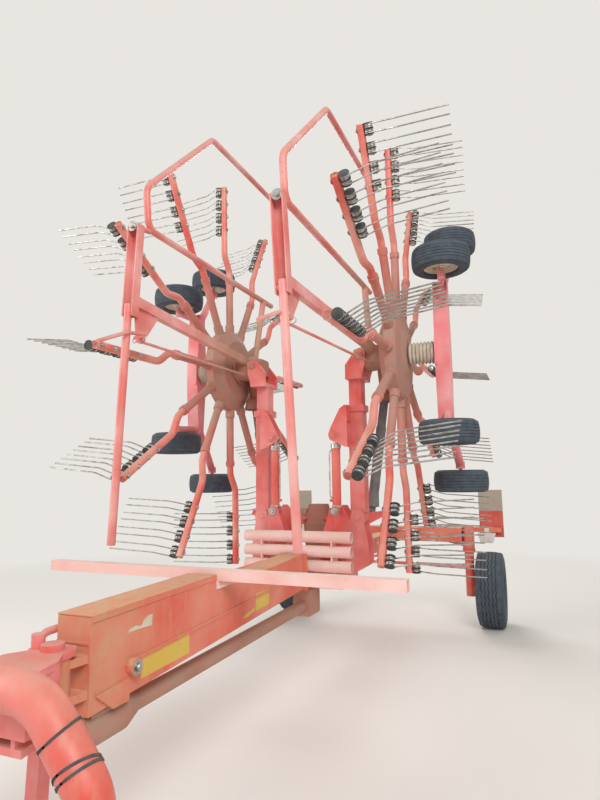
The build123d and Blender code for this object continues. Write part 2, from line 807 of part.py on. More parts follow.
def steering_rod():
    """Bent rod from the headstock lever over the beam and down beside it to the bell crank."""
    front_y = SWIVEL_Y + 2
    drop = -560.0
    eye_x = -HEAD_LEVER - 6
    path = [
        point(eye_x, front_y, STEER_TOP_Z),
        point(-STEER_X, front_y + 90, STEER_TOP_Z),
        point(-STEER_X, drop, STEER_TOP_Z),
        point(-STEER_X, drop + 90, STEER_LOW_Z),
        point(-STEER_X, AXLE_Y - 330, STEER_LOW_Z),
    ]
    rod = bent_bar(path, [100, 60, 60], STEER_R)
    upper = eye_top()
    front_eye = bar(point(eye_x, front_y, upper + 0.4), point(eye_x, front_y, STEER_TOP_Z + 20), 24)
    rear_eye = bar(
        point(-STEER_X, AXLE_Y - 300, STEER_LOW_Z - 16), point(-STEER_X, AXLE_Y - 300, STEER_LOW_Z + 16), 30
    )
    neck_start = point(-STEER_X, AXLE_Y - 335, STEER_LOW_Z)
    neck = bar(neck_start, point(-STEER_X, AXLE_Y - 300, STEER_LOW_Z), STEER_R)
    return join(rod, front_eye, rear_eye, neck)


def eye_top():
    """Height of the upper face of the steering lever on the headstock."""
    return eye_middle() + SWIVEL_EYE_HALF + PLAY + SWIVEL_PLATE


def bell_crank():
    """Right-angled crank under the spine: one arm takes the steering rod, the other the tie rod."""
    y = AXLE_Y - 300
    level = STEER_LOW_Z - 24
    plate = flat_plate(
        [
            (-STEER_X - 28, y - 26),
            (-STEER_X - 28, y + 26),
            (-30, y + 40),
            (-28, y + CRANK_ARM + 26),
            (28, y + CRANK_ARM + 26),
            (40, y - 36),
        ],
        level,
        14,
    )
    hub = bar(point(0, y, STEER_LOW_Z - 32), point(0, y, STEER_LOW_Z + 18), 42)
    post = bar(point(0, y + CRANK_ARM, TIE_Z + TIE_R + 8), point(0, y + CRANK_ARM, level), 16)
    body = join(plate, hub, post)
    return cut(body, bar(point(0, y, 600), point(0, y, 900), 18 + FIT))


def tie_rod():
    """Straight rod between the steering arms of both knuckles."""
    y = AXLE_Y - KNUCKLE_ARM
    rod = bar(point(-KINGPIN_X, y, TIE_Z), point(KINGPIN_X, y, TIE_Z), TIE_R)
    ends = [
        bar(point(side * KINGPIN_X, y, TIE_Z - 18), point(side * KINGPIN_X, y, TIE_Z + 18), 28)
        for side in (-1, 1)
    ]
    middle = bar(point(0, y, TIE_Z - 20), point(0, y, TIE_Z + TIE_R + 7.5), 26)
    return join(rod, *ends, middle)


def knuckle():
    """Kingpin leg of one transport wheel, with its steering arm and stub axle."""
    leg = bar(point(KINGPIN_X, AXLE_Y, AXLE_Z - 80), point(KINGPIN_X, AXLE_Y, KINGPIN_LOW - 4), LEG_R)
    pin_top = point(KINGPIN_X, AXLE_Y, KINGPIN_TOP - 14)
    pin = bar(point(KINGPIN_X, AXLE_Y, KINGPIN_LOW - 10), pin_top, KINGPIN_R)
    collar_top = point(KINGPIN_X, AXLE_Y, KINGPIN_LOW - PLAY)
    collar = bar(point(KINGPIN_X, AXLE_Y, KINGPIN_LOW - 30), collar_top, 66)
    stub = bar(point(KINGPIN_X, AXLE_Y, AXLE_Z), point(TRACK_HALF - 61, AXLE_Y, AXLE_Z), 38)
    spindle = bar(point(KINGPIN_X, AXLE_Y, AXLE_Z), point(TRACK_HALF + 70, AXLE_Y, AXLE_Z), 25)
    arm = flat_plate(
        [
            (KINGPIN_X - 40, AXLE_Y),
            (KINGPIN_X - 26, AXLE_Y - KNUCKLE_ARM - 28),
            (KINGPIN_X + 26, AXLE_Y - KNUCKLE_ARM - 28),
            (KINGPIN_X + 40, AXLE_Y),
        ],
        TIE_Z + 18.4 + 7,
        14,
    )
    return join(leg, pin, collar, stub, spindle, arm)


def transport_tyre():
    """Wide implement tyre: rounded shoulders, flat tread with two grooves, open bead."""
    half = TYRE_WIDTH / 2
    groove = 12.0
    outline = Polyline(
        (RIM_R + 4, -half + 42),
        (RIM_R + 12, -half + 42),
        (RIM_R + 30, -half + 10),
        (RIM_R + 80, -half),
        (TYRE_R - 70, -half + 4),
        (TYRE_R - 22, -half + 22),
        (TYRE_R - 4, -half + 46),
        (TYRE_R - 1, -52),
        (TYRE_R - groove, -48),
        (TYRE_R - groove, -40),
        (TYRE_R, -36),
        (TYRE_R, 36),
        (TYRE_R - groove, 40),
        (TYRE_R - groove, 48),
        (TYRE_R - 1, 52),
        (TYRE_R - 4, half - 46),
        (TYRE_R - 22, half - 22),
        (TYRE_R - 70, half - 4),
        (RIM_R + 80, half),
        (RIM_R + 30, half - 10),
        (RIM_R + 12, half - 42),
        (RIM_R + 4, half - 42),
        close=True,
    )
    section = Plane.XY * make_face(outline)
    ring = revolve(section, Axis.Y, 360)
    return turned(ring, point(TRACK_HALF, AXLE_Y, AXLE_Z), "x")


def turned(solid, centre, axis):
    """A wheel made about the Y axis, turned to its own axle and moved to its place."""
    if axis == "x":
        solid = Rot(0, 0, -90) * solid
    if axis == "z":
        solid = Rot(90, 0, 0) * solid
    return Pos(*centre) * solid


def transport_rim():
    """Dished disc rim with its hub, bored for the stub axle."""
    half = TYRE_WIDTH / 2 - 42
    outline = Polyline(
        (25 + FIT, -60),
        (62, -60),
        (70, 10),
        (110, 22),
        (150, 6),
        (RIM_R - 18, 0),
        (RIM_R - 14, -half - 6),
        (RIM_R + 8, -half - 6),
        (RIM_R + 8, -half - 0.3),
        (RIM_R + 3.7, -half - 0.3),
        (RIM_R + 3.7, half + 0.3),
        (RIM_R + 8, half + 0.3),
        (RIM_R + 8, half + 6),
        (RIM_R - 14, half + 6),
        (RIM_R - 18, 14),
        (150, 20),
        (110, 36),
        (62, 30),
        (56, 78),
        (25 + FIT, 78),
        close=True,
    )
    ring = revolve(Plane.XY * make_face(outline), Axis.Y, 360)
    slots = PolarLocations(132, 8)
    bores = [Rot(-90, 0, 0) * loc * Cylinder(15, 200) for loc in slots]
    ring = cut(ring, *bores)
    return turned(ring, point(TRACK_HALF, AXLE_Y, AXLE_Z), "x")


def lift_arm():
    """Outer box of the folding arm, with its pivot pin, end collar and the ear of the lift cylinder."""
    box = box_beam(
        point(PIVOT_X, 0, PIVOT_Z + 30),
        point(PIVOT_X, 0, ARM_TOP),
        (2 * ARM_HALF_X, 2 * ARM_HALF_Y),
        (2 * ARM_HALF_X, 2 * ARM_HALF_Y),
        ARM_WALL,
    )
    boss = bar(point(PIVOT_X, -ARM_HALF_Y, PIVOT_Z), point(PIVOT_X, ARM_HALF_Y, PIVOT_Z), ARM_HALF_X)
    pin_front = LUG_Y + LUG_PLATE / 2
    pin_rear = pin_front + LUG_PLATE + PLAY
    pin = bar(point(PIVOT_X, -pin_front, PIVOT_Z), point(PIVOT_X, pin_rear, PIVOT_Z), PIVOT_R)
    head = bar(point(PIVOT_X, pin_rear - 1, PIVOT_Z), point(PIVOT_X, pin_rear + 12, PIVOT_Z), 32)
    collar = box_beam(
        point(PIVOT_X, 0, ARM_TOP - 50),
        point(PIVOT_X, 0, ARM_TOP),
        (2 * ARM_HALF_X + 24, 2 * ARM_HALF_Y + 24),
        (2 * ARM_HALF_X + 24, 2 * ARM_HALF_Y + 24),
        12 + ARM_WALL,
    )
    near = -(LUG_Y + LUG_PLATE / 2) + LUG_PLATE / 2
    ear_outline = [
        (PIVOT_X - ARM_HALF_X + 20, 1800),
        (PIVOT_X - ARM_HALF_X, 1800),
        (CYL_X - 30, CYL_HEAD_Z - 34),
        (CYL_X - 42, CYL_HEAD_Z + 4),
        (CYL_X - 28, CYL_HEAD_Z + 46),
        (CYL_X + 50, 2085),
        (PIVOT_X - ARM_HALF_X, 2110),
        (PIVOT_X - ARM_HALF_X + 20, 2110),
    ]
    ear_near = cross_plate(ear_outline, near, LUG_PLATE)
    ear_far = cross_plate(ear_outline, CYL_PLATE_Y, LUG_PLATE)
    bridge = cross_plate(
        [
            (PIVOT_X - ARM_HALF_X, 1990),
            (PIVOT_X - ARM_HALF_X + 20, 1990),
            (PIVOT_X - ARM_HALF_X + 20, 2110),
            (PIVOT_X - ARM_HALF_X, 2110),
        ],
        (near + CYL_PLATE_Y) / 2,
        near - CYL_PLATE_Y,
    )
    fill = block(
        point(PIVOT_X - ARM_HALF_X, near - 1, 1800), point(PIVOT_X - ARM_HALF_X + 20, -ARM_HALF_Y, 2110)
    )
    bolts = [
        bar(point(CYL_X, CYL_PLATE_Y - 18, CYL_HEAD_Z), point(CYL_X, CYL_PLATE_Y, CYL_HEAD_Z), 24),
        bar(point(CYL_X, near, CYL_HEAD_Z), point(CYL_X, near + 16, CYL_HEAD_Z), 24),
    ]
    return join(box, boss, pin, head, collar, ear_near, ear_far, bridge, fill, *bolts)


def head_tube():
    """Inner box that slides out of the lift arm, with a fork at its top for the rotor gearbox."""
    box = box_beam(
        point(PIVOT_X, 0, HEAD_LOW),
        point(PIVOT_X, 0, ROTOR_Z - 150),
        (2 * HEAD_HALF_X, 2 * HEAD_HALF_Y),
        (2 * HEAD_HALF_X, 2 * HEAD_HALF_Y),
        6,
    )
    base = block(
        point(PIVOT_X - 55, -GEARBOX_HALF_Y - 25, ROTOR_Z - 170),
        point(PIVOT_X + 75, GEARBOX_HALF_Y + 25, ROTOR_Z - 140),
    )
    cheeks = []
    for side in (-1, 1):
        outline = [
            (PIVOT_X - 55, ROTOR_Z - 145),
            (PIVOT_X - 55, ROTOR_Z - 60),
            (TILT_X - 42, ROTOR_Z + 34),
            (TILT_X, ROTOR_Z + 48),
            (TILT_X + 42, ROTOR_Z + 30),
            (TILT_X + 40, ROTOR_Z - 60),
            (PIVOT_X + 75, ROTOR_Z - 145),
        ]
        plate = cross_plate(outline, side * (GEARBOX_HALF_Y + 13), 24)
        hole = bar(
            point(TILT_X, side * GEARBOX_HALF_Y, ROTOR_Z),
            point(TILT_X, side * (GEARBOX_HALF_Y + 40), ROTOR_Z),
            26 + FIT,
        )
        cheeks.append(cut(plate, hole))
    return join(box, base, *cheeks)


def lift_barrel():
    """Barrel of the lift cylinder with its foot eye, silver end collars and gland."""
    foot = bar(
        point(CYL_X, CYL_Y - CYL_R - 4, CYL_FOOT_Z), point(CYL_X, CYL_Y + CYL_R + 4, CYL_FOOT_Z), 30
    )
    pin = bar(
        point(CYL_X, CYL_PLATE_Y - LUG_PLATE / 2 - 10, CYL_FOOT_Z),
        point(CYL_X, -LUG_Y + LUG_PLATE / 2 + 1, CYL_FOOT_Z),
        CYL_PIN_R,
    )
    barrel = tube(
        point(CYL_X, CYL_Y, CYL_FOOT_Z + 25),
        point(CYL_X, CYL_Y, CYL_HEAD_Z - 62),
        CYL_R,
        CYL_R - CYL_ROD_R - FIT,
    )
    bottom = bar(point(CYL_X, CYL_Y, CYL_FOOT_Z + 20), point(CYL_X, CYL_Y, CYL_FOOT_Z + 60), CYL_R - 6)
    gland = tube(
        point(CYL_X, CYL_Y, CYL_HEAD_Z - 100),
        point(CYL_X, CYL_Y, CYL_HEAD_Z - 62),
        CYL_R + 4,
        CYL_R - CYL_ROD_R,
    )
    port = bar(
        point(CYL_X, CYL_Y, CYL_FOOT_Z + 80), point(CYL_X - 52, CYL_Y, CYL_FOOT_Z + 80), 11
    )
    bore = bar(point(CYL_X, CYL_Y, CYL_FOOT_Z + 62), point(CYL_X, CYL_Y, CYL_HEAD_Z), CYL_ROD_R + FIT)
    return join(cut(join(barrel, bottom, gland, port), bore), cut(foot, bore), pin)


def lift_rod():
    """Piston rod with its eye between the two ear plates of the lift arm."""
    rod = bar(point(CYL_X, CYL_Y, CYL_FOOT_Z + 70), point(CYL_X, CYL_Y, CYL_HEAD_Z - 10), CYL_ROD_R)
    half = CYL_R + CYL_GAP - PLAY
    eye = bar(point(CYL_X, CYL_Y - half, CYL_HEAD_Z), point(CYL_X, CYL_Y + half, CYL_HEAD_Z), 28)
    return join(rod, eye)


def shaft_point(share):
    """A place on the drive shaft's line, from its foot joint at 0 to its head joint at 1."""
    foot = point(SHAFT_FOOT_X, SHAFT_Y, PIVOT_Z)
    head = point(SHAFT_HEAD_X, SHAFT_Y, SHAFT_HEAD_Z)
    return foot + (head - foot) * share


def drive_shaft_outer():
    """Lower half of the drive shaft in its plastic guard, with a ball at the foot joint."""
    ball = Pos(*shaft_point(0)) * Sphere(SHAFT_BALL)
    guard = tube(shaft_point(0.07), shaft_point(0.72), SHAFT_OUTER_R, SHAFT_WALL)
    cone = Solid.make_cone(
        52, SHAFT_OUTER_R, 110, Plane(origin=shaft_point(0.075), z_dir=shaft_point(1) - shaft_point(0))
    )
    floor = bar(shaft_point(0.015), shaft_point(0.08), SHAFT_OUTER_R - SHAFT_WALL - 6)
    cone_room = bar(shaft_point(0.09), shaft_point(0.4), SHAFT_OUTER_R - SHAFT_WALL)
    seat = bar(shaft_point(0.075), shaft_point(0.09), SHAFT_OUTER_R - 1)
    half_pin = Vector(0, SHAFT_BALL, 0)
    cross = bar(shaft_point(0) - half_pin, shaft_point(0) + half_pin, 18)
    return join(cut(join(guard, cone), cone_room), seat, ball, cross, floor)


def drive_shaft_inner():
    """Upper half of the drive shaft, sliding in the lower guard."""
    length_share = 0.955
    guard = tube(shaft_point(0.1), shaft_point(length_share), SHAFT_INNER_R, SHAFT_WALL)
    joint = bar(shaft_point(length_share - 0.03), shaft_point(length_share), SHAFT_INNER_R)
    return join(guard, joint)


def upright_plane(x):
    """A plane square to the rotor axis, at a place along it."""
    return Plane(origin=point(x, 0, ROTOR_Z), x_dir=(0, 1, 0), z_dir=(1, 0, 0))


def rotor_gearbox():
    """Rotor gearbox hung in the fork of the head tube, with the input bell and the guard socket."""
    z = ROTOR_Z
    housing = loft(
        [
            upright_plane(TILT_X - 60) * RectangleRounded(150, 130, 25),
            upright_plane(TILT_X + 40) * RectangleRounded(180, 190, 40),
            upright_plane(HUB_X - 30) * RectangleRounded(170, 180, 60),
        ],
        ruled=True,
    )
    flange = bar(point(HUB_X - 32, 0, z), point(HUB_X - 8, 0, z), 112)
    pins = [
        bar(
            point(TILT_X, side * 60, z),
            point(TILT_X, side * (GEARBOX_HALF_Y + 34), z),
            26,
        )
        for side in (-1, 1)
    ]
    column = bar(point(TILT_X + 60, 0, z), point(BEAM2_X - 54, 0, z), COLUMN_R)
    input_box = block(
        point(SHAFT_HEAD_X - 48, 60, z - 60), point(SHAFT_HEAD_X + 42, SHAFT_Y + 52, z + 50)
    )
    input_box = fillet(input_box.edges().filter_by(Axis.Z), 22)
    joint = point(SHAFT_HEAD_X, SHAFT_Y, SHAFT_HEAD_Z)
    neck = Solid.make_cone(40, 56, z - 60 - SHAFT_HEAD_Z, Plane(origin=joint, z_dir=(0, 0, 1)))
    low = Plane(origin=joint - Vector(0, 0, BELL_DROP), z_dir=(0, 0, 1))
    bell = Solid.make_cone(BELL_MOUTH_R, BELL_TOP_R, BELL_LENGTH, low)
    room = Solid.make_cone(BELL_MOUTH_R - BELL_WALL, BELL_TOP_R - BELL_WALL, BELL_LENGTH - BELL_WALL, low)
    return join(housing, flange, *pins, column, input_box, neck, cut(bell, room))


def column_bellows():
    """Ribbed sleeve round the rotor column between the hub and the wheel beam."""
    start = 806.0
    end = 990.0
    ribs = 7
    pitch = (end - start) / ribs
    profile = [(COLUMN_R + 0.4, start)]
    for index in range(ribs):
        x = start + index * pitch
        profile.append((70, x))
        profile.append((86, x + pitch / 2))
    profile.append((70, end))
    profile.append((COLUMN_R + 0.4, end))
    ring = revolve(Plane.XZ * make_face(Polyline(*profile, close=True)), Axis.Z, 360)
    return Pos(*point(0, 0, ROTOR_Z)) * Rot(0, 90, 0) * ring


def chassis():
    """Fish-bellied wheel beam of one rotor, with its saddle and the brackets of the four wheels."""
    z = ROTOR_Z
    half = 52.0
    skins = []
    for inset in (0, 6):
        outline = [
            (-38 + inset, z - BEAM2_HALF - 1 + inset / 6),
            (38 - inset, z - BEAM2_HALF - 1 + inset / 6),
            (66 - inset, z - 130),
            (66 - inset, z + 130),
            (38 - inset, z + BEAM2_HALF + 1 - inset / 6),
            (-38 + inset, z + BEAM2_HALF + 1 - inset / 6),
            (-66 + inset, z + 130),
            (-66 + inset, z - 130),
        ]
        skins.append(side_plate(outline, BEAM2_X, 2 * (half - inset)))
    shell = cut(skins[0], skins[1])
    saddle = bar(point(BEAM2_X - half - 2, 0, z), point(BEAM2_X + half - 10, 0, z), 60)
    web = block(point(BEAM2_X - half, -86, z - 112), point(BEAM2_X - half + 16, 86, z + 112))
    web = fillet(web.edges().filter_by(Axis.X), 24)
    pieces = [shell, saddle, web]
    for end in (-1, 1):
        cap = block(
            point(BEAM2_X - half, -38, z + end * (BEAM2_HALF - 4) - 5),
            point(BEAM2_X + half, 38, z + end * (BEAM2_HALF - 4) + 5),
        )
        pieces.append(cap)
        y_front, z_front = SMALL_WHEELS["front"]
        inner_front = z_front - SMALL_WIDTH / 2 - 36
        beam_end = point(BEAM2_X, -20, z + end * (BEAM2_HALF - 40))
        axle_foot = point(SMALL_X, y_front, z + end * (inner_front - 26))
        pieces.append(bar(beam_end, point(SMALL_X, y_front, z + end * inner_front), 26))
        pieces.append(bar(axle_foot, point(SMALL_X, y_front, z + end * (z_front + 40)), SMALL_AXLE_R))
        pieces.append(bar(axle_foot, point(SMALL_X, y_front, z + end * (inner_front + 26)), 28))
        y_rear, z_rear = SMALL_WHEELS["rear"]
        inner_rear = z_rear - SMALL_WIDTH / 2 - 34
        rear_start = point(BEAM2_X, 30, z + end * (BEAM2_HALF - 70))
        rear_end = point(SMALL_X, y_rear, z + end * inner_rear)
        pieces.append(bar(rear_start, rear_end, 32))
        rear_foot = point(SMALL_X, y_rear, z + end * (inner_rear - 28))
        pieces.append(bar(rear_foot, point(SMALL_X, y_rear, z + end * (inner_rear + 24)), 34))
        pieces.append(bar(rear_end, point(SMALL_X, y_rear, z + end * (z_rear + 40)), SMALL_AXLE_R))
    return join(*pieces)


def small_wheel(place, end):
    """Wide low-pressure tyre on its disc rim, bored for the axle."""
    y, sideways = place
    half = SMALL_WIDTH / 2
    outline = Polyline(
        (SMALL_AXLE_R + SEAT, -48),
        (34, -48),
        (40, -18),
        (SMALL_RIM_R - 22, -10),
        (SMALL_RIM_R - 14, -half + 26),
        (SMALL_RIM_R, -half + 20),
        (SMALL_RIM_R + 24, -half),
        (SMALL_R - 46, -half),
        (SMALL_R - 14, -half + 14),
        (SMALL_R - 2, -half + 40),
        (SMALL_R, 0),
        (SMALL_R - 2, half - 40),
        (SMALL_R - 14, half - 14),
        (SMALL_R - 46, half),
        (SMALL_RIM_R + 24, half),
        (SMALL_RIM_R, half - 20),
        (SMALL_RIM_R - 14, half - 26),
        (SMALL_RIM_R - 22, 4),
        (46, 8),
        (40, 44),
        (SMALL_AXLE_R + SEAT, 44),
        close=True,
    )
    ring = revolve(Plane.XY * make_face(outline), Axis.Y, 360)
    return turned(ring, point(SMALL_X, y, ROTOR_Z + end * sideways), "z")


def guard():
    """Safety frame in front of the rotor: bent bow, sloping post and the two stays back to the gearbox."""
    z = ROTOR_Z
    bow = [
        point(BOW_X, 250, 3085),
        point(BOW_X, GUARD_Y + 120, 3075),
        point(BOW_X, GUARD_Y + 90, 3330),
        point(BOW_X, -760, 4080),
        point(BOW_X, 330, 4095),
    ]
    upper = bent_bar(bow, [70, 120, 120], BOW_R)
    slope = (GUARD_FOOT_X - GUARD_TOP_X) / (GUARD_TOP_Z - GUARD_FOOT_Z)
    joint_z = GUARD_TOP_Z - CHANNEL_LENGTH
    joint_x = GUARD_TOP_X + slope * CHANNEL_LENGTH
    post_top = point(joint_x, GUARD_Y, joint_z + 60)
    post = tube(post_top, point(GUARD_FOOT_X, GUARD_Y, GUARD_FOOT_Z), GUARD_R, 4)
    outer = box_beam(
        point(joint_x, GUARD_Y + 14, joint_z - 10),
        point(GUARD_TOP_X, GUARD_Y + 14, GUARD_TOP_Z),
        (74, 60),
        (74, 60),
        7,
    )
    room = taper_bar(
        point(joint_x, GUARD_Y - 16, joint_z - 12),
        point(GUARD_TOP_X, GUARD_Y - 16, GUARD_TOP_Z + 2),
        (60, 74),
        (60, 74),
    )
    channel = cut(outer, room)
    bolt_front = point(BOW_X + 12, GUARD_Y - 14, GUARD_TOP_Z - 14)
    top_bolt = bar(bolt_front, point(BOW_X, GUARD_Y + 130, GUARD_TOP_Z + 6), 16)
    cross_z = joint_z + 24
    cross = bar(point(joint_x - 30, GUARD_Y + 12, cross_z), point(joint_x + 34, GUARD_Y + 12, cross_z), 20)
    lower_stay = box_beam(
        point(BOW_X + 20, GUARD_Y + 34, STAY_Z),
        point(TILT_X + 90, -70, z + 55),
        (46, 62),
        (46, 62),
        6,
    )
    strut = bar(point(BOW_X, 90, 3084), point(TILT_X + 50, 30, z + 60), 24)
    latch = guard_latch()
    frame = join(upper, post, channel, top_bolt, cross, lower_stay, strut, *latch)
    return cut(frame, rotor_gearbox())


def guard_latch():
    """Gusset under the lower stay with its ring pin, the bent release rod and the thin pull rod."""
    plate = 10.0
    x = BOW_X + 20
    low = STAY_Z - 235
    gusset = side_plate(
        [
            (GUARD_Y + 30, STAY_Z + 10),
            (GUARD_Y + 230, STAY_Z),
            (GUARD_Y + 245, STAY_Z - 60),
            (GUARD_Y + 110, low),
            (GUARD_Y + 60, low),
        ],
        x,
        plate,
    )
    pin = bar(point(x - 34, GUARD_Y + 84, low + 34), point(x + 34, GUARD_Y + 84, low + 34), 10)
    release = bent_bar(
        [
            point(x, GUARD_Y + 130, low + 62),
            point(x, GUARD_Y - 20, low + 40),
            point(x, GUARD_Y - 250, low - 60),
        ],
        [90],
        11,
    )
    pull = bar(point(x, GUARD_Y + 90, low + 12), point(TILT_X + 90, -70, ROTOR_Z - 60), 9)
    return gusset, pin, release, pull


def on_rotor(radius, across, angle, x):
    """A place on the rotor: outward, square to the arm, at the arm's angle, and along the axis."""
    a = math.radians(angle)
    return point(
        x, radius * math.cos(a) - across * math.sin(a), ROTOR_Z + radius * math.sin(a) + across * math.cos(a)
    )


def rotor_hub():
    """Dished cam housing with the inner tube of every tine arm."""
    dish_profile = Polyline(
        (COLUMN_R + SEAT, HUB_X),
        (HUB_R - 90, HUB_X - 8),
        (HUB_R - 30, HUB_X + 30),
        (HUB_R, ARM_X - 34),
        (HUB_R, ARM_X + 34),
        (HUB_R - 20, ARM_X + 46),
        (190, ARM_X + 58),
        (120, ARM_X + 78),
        (COLUMN_R + SEAT, ARM_X + 78),
        close=True,
    )
    dish = revolve(Plane.XZ * make_face(dish_profile), Axis.Z, 360)
    dish = Pos(*point(0, 0, ROTOR_Z)) * Rot(0, 90, 0) * dish
    pieces = [dish]
    for index in range(ARM_COUNT):
        angle = ARM_PHASE + index * 360 / ARM_COUNT
        plug = on_rotor(ARM_PLUG, 0, angle, ARM_X)
        socket_start = on_rotor(HUB_R - 60, 0, angle, ARM_X)
        socket = bar(socket_start, on_rotor(HUB_R + 60, 0, angle, ARM_X), ARM_TUBE_R + 12)
        arm = bar(on_rotor(HUB_R - 40, 0, angle, ARM_X), plug, ARM_TUBE_R + 4)
        ring = bar(on_rotor(ARM_PLUG - 40, 0, angle, ARM_X), plug, ARM_TUBE_R + 10)
        pieces.extend([socket, arm, ring])
    return join(*pieces)


def tine(radius, side, angle):
    """One spring tine: it leaves its coil sideways, leans back and then runs straight out."""
    reach = radius + side * TINE_SPREAD / 2
    places = [
        on_rotor(reach, ARM_OFFSET, angle, ARM_X + COIL_R - 6),
        on_rotor(reach, ARM_OFFSET - TINE_LEAN * 0.55, angle, TINE_KNEE_X),
        on_rotor(reach, ARM_OFFSET - TINE_LEAN, angle, TINE_TIP_X),
    ]
    path = Polyline(*places)
    section = Plane(origin=path @ 0, z_dir=path % 0) * Rectangle(TINE_SIZE, TINE_SIZE)
    return sweep(section, path=path, transition=Transition.RIGHT)


def tine_arm(angle):
    """Outer half of one tine arm: offset tube with its row of double spring tines."""
    path = FilletPolyline(
        on_rotor(ARM_PLUG + SEAT, 0, angle, ARM_X),
        on_rotor(ARM_KINK_START, 0, angle, ARM_X),
        on_rotor(ARM_KINK_END, ARM_OFFSET, angle, ARM_X),
        on_rotor(ARM_TIP, ARM_OFFSET, angle, ARM_X),
        radius=[40, 40],
    )
    rod = sweep(Plane(origin=path @ 0, z_dir=path % 0) * Circle(ARM_TUBE_R), path=path)
    pieces = []
    for index in range(TINE_UNITS):
        radius = TINE_FIRST + index * TINE_STEP
        coil = bar(
            on_rotor(radius - TINE_SPREAD / 2 - 9, ARM_OFFSET, angle, ARM_X),
            on_rotor(radius + TINE_SPREAD / 2 + 9, ARM_OFFSET, angle, ARM_X),
            COIL_R,
        )
        pieces.append(coil)
        pieces.append(tine(radius, -1, angle))
        pieces.append(tine(radius, 1, angle))
    return join(rod, *pieces)


def tine_arms():
    """The outer halves of all tine arms, each one a body of its own."""
    first = tine_arm(ARM_PHASE)
    centre = point(ARM_X, 0, ROTOR_Z)
    axis = Axis(centre, (1, 0, 0))
    return [first.rotate(axis, index * 360 / ARM_COUNT) for index in range(ARM_COUNT)]


if __name__ == "__main__":
    save("main_beam", join(front_beam(), stand_bracket()))
    save("parking_stand", parking_stand())
    save("front_crossbar", front_crossbar())
    save("tube_rack", tube_rack())
    save("centre_frame", centre_frame())
    save("centre_gearbox", centre_gearbox())
    save("drive_line", drive_line())
    save("rear_spine", rear_spine())
    save("axle_beam", axle_beam())
    save("light_boards", light_board(1), light_board(-1))
    save("marker_plates", marker_plate(1), marker_plate(-1))
    save("headstock_arch", headstock_arch())
    save("swivel_head", swivel_head())
    save("steering_rod", steering_rod())
    save("bell_crank", bell_crank())
    save("tie_rod", tie_rod())
    save_pair("knuckle", knuckle())
    save_pair("transport_tyre", transport_tyre())
    save_pair("transport_rim", transport_rim())
    save_pair("lift_arm", lift_arm())
    save_pair("head_tube", head_tube())
    save_pair("lift_barrel", lift_barrel())
    save_pair("lift_rod", lift_rod())
    save_pair("drive_shaft_outer", drive_shaft_outer())
    save_pair("drive_shaft_inner", drive_shaft_inner())
    save_pair("rotor_gearbox", rotor_gearbox())
    save_pair("column_bellows", column_bellows())
    save_pair("chassis", chassis())
    save_pair("guard", guard())
    save_pair("rotor_hub", rotor_hub())
    save_pair("tine_arms", *tine_arms())
    for name, place in SMALL_WHEELS.items():
        save_pair(f"small_wheel_{name}_upper", small_wheel(place, 1))
        save_pair(f"small_wheel_{name}_lower", small_wheel(place, -1))
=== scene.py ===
# %% [markdown]
# A towed rake with two tined rotors, folded upright for the road.
# The steel frame comes from the CAD model; this script gives every surface its finish and
# adds what is too fine for that model: springs, tyre treads, bolts, labels and clamps.
# Everything is in metres, in the frame of the CAD model: +Z up, the hitch towards -Y.

# %% Load the frame
import math

import bpy
from mathutils import Matrix, Vector


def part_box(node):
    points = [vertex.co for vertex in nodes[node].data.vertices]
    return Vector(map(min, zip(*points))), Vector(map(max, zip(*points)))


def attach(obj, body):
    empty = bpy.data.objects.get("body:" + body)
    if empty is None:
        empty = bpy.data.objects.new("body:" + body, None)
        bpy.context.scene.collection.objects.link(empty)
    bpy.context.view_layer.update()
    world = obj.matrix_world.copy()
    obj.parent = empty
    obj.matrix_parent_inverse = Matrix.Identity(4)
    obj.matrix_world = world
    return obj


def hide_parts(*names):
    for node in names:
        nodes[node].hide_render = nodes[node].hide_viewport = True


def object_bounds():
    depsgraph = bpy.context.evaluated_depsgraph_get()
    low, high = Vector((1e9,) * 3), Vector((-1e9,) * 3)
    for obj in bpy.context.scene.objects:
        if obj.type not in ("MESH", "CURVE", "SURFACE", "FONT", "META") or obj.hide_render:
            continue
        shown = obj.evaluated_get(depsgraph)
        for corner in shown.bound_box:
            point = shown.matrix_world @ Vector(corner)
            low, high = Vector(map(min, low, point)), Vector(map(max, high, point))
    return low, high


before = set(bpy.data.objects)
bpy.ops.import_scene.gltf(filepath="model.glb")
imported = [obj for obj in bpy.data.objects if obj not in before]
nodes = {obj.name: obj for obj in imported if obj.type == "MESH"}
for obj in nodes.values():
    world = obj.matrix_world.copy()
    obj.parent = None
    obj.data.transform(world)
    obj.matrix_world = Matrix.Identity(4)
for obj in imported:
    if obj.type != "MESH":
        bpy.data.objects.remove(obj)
cad_low, cad_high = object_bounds()
print("CAD box", tuple(round(v, 3) for v in cad_low), tuple(round(v, 3) for v in cad_high))

# %% [markdown]
# The sides of the machine mirror each other, so places are written once, for the right side
# (+X), and a loop over the two sides makes both. The rotor axis is the origin for places
# along the machine, as in the CAD model.

# %% Sizes shared by several pieces
MM = 0.001
SIDES = (("right", 1), ("left", -1))
rotor_low, rotor_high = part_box("rotor_hub_right")
ROTOR_Y = (rotor_low.y + rotor_high.y) / 2
ROTOR_Z = (rotor_low.z + rotor_high.z) / 2
print("rotor axis at", round(ROTOR_Y, 4), round(ROTOR_Z, 4))

# %% [markdown]
# The camera stands where the photographer stood: a phone held at head height, in front and a
# little to the right of the hitch, tilted up by eight degrees. The place was solved from pairs
# of points that mirror each other on the machine.

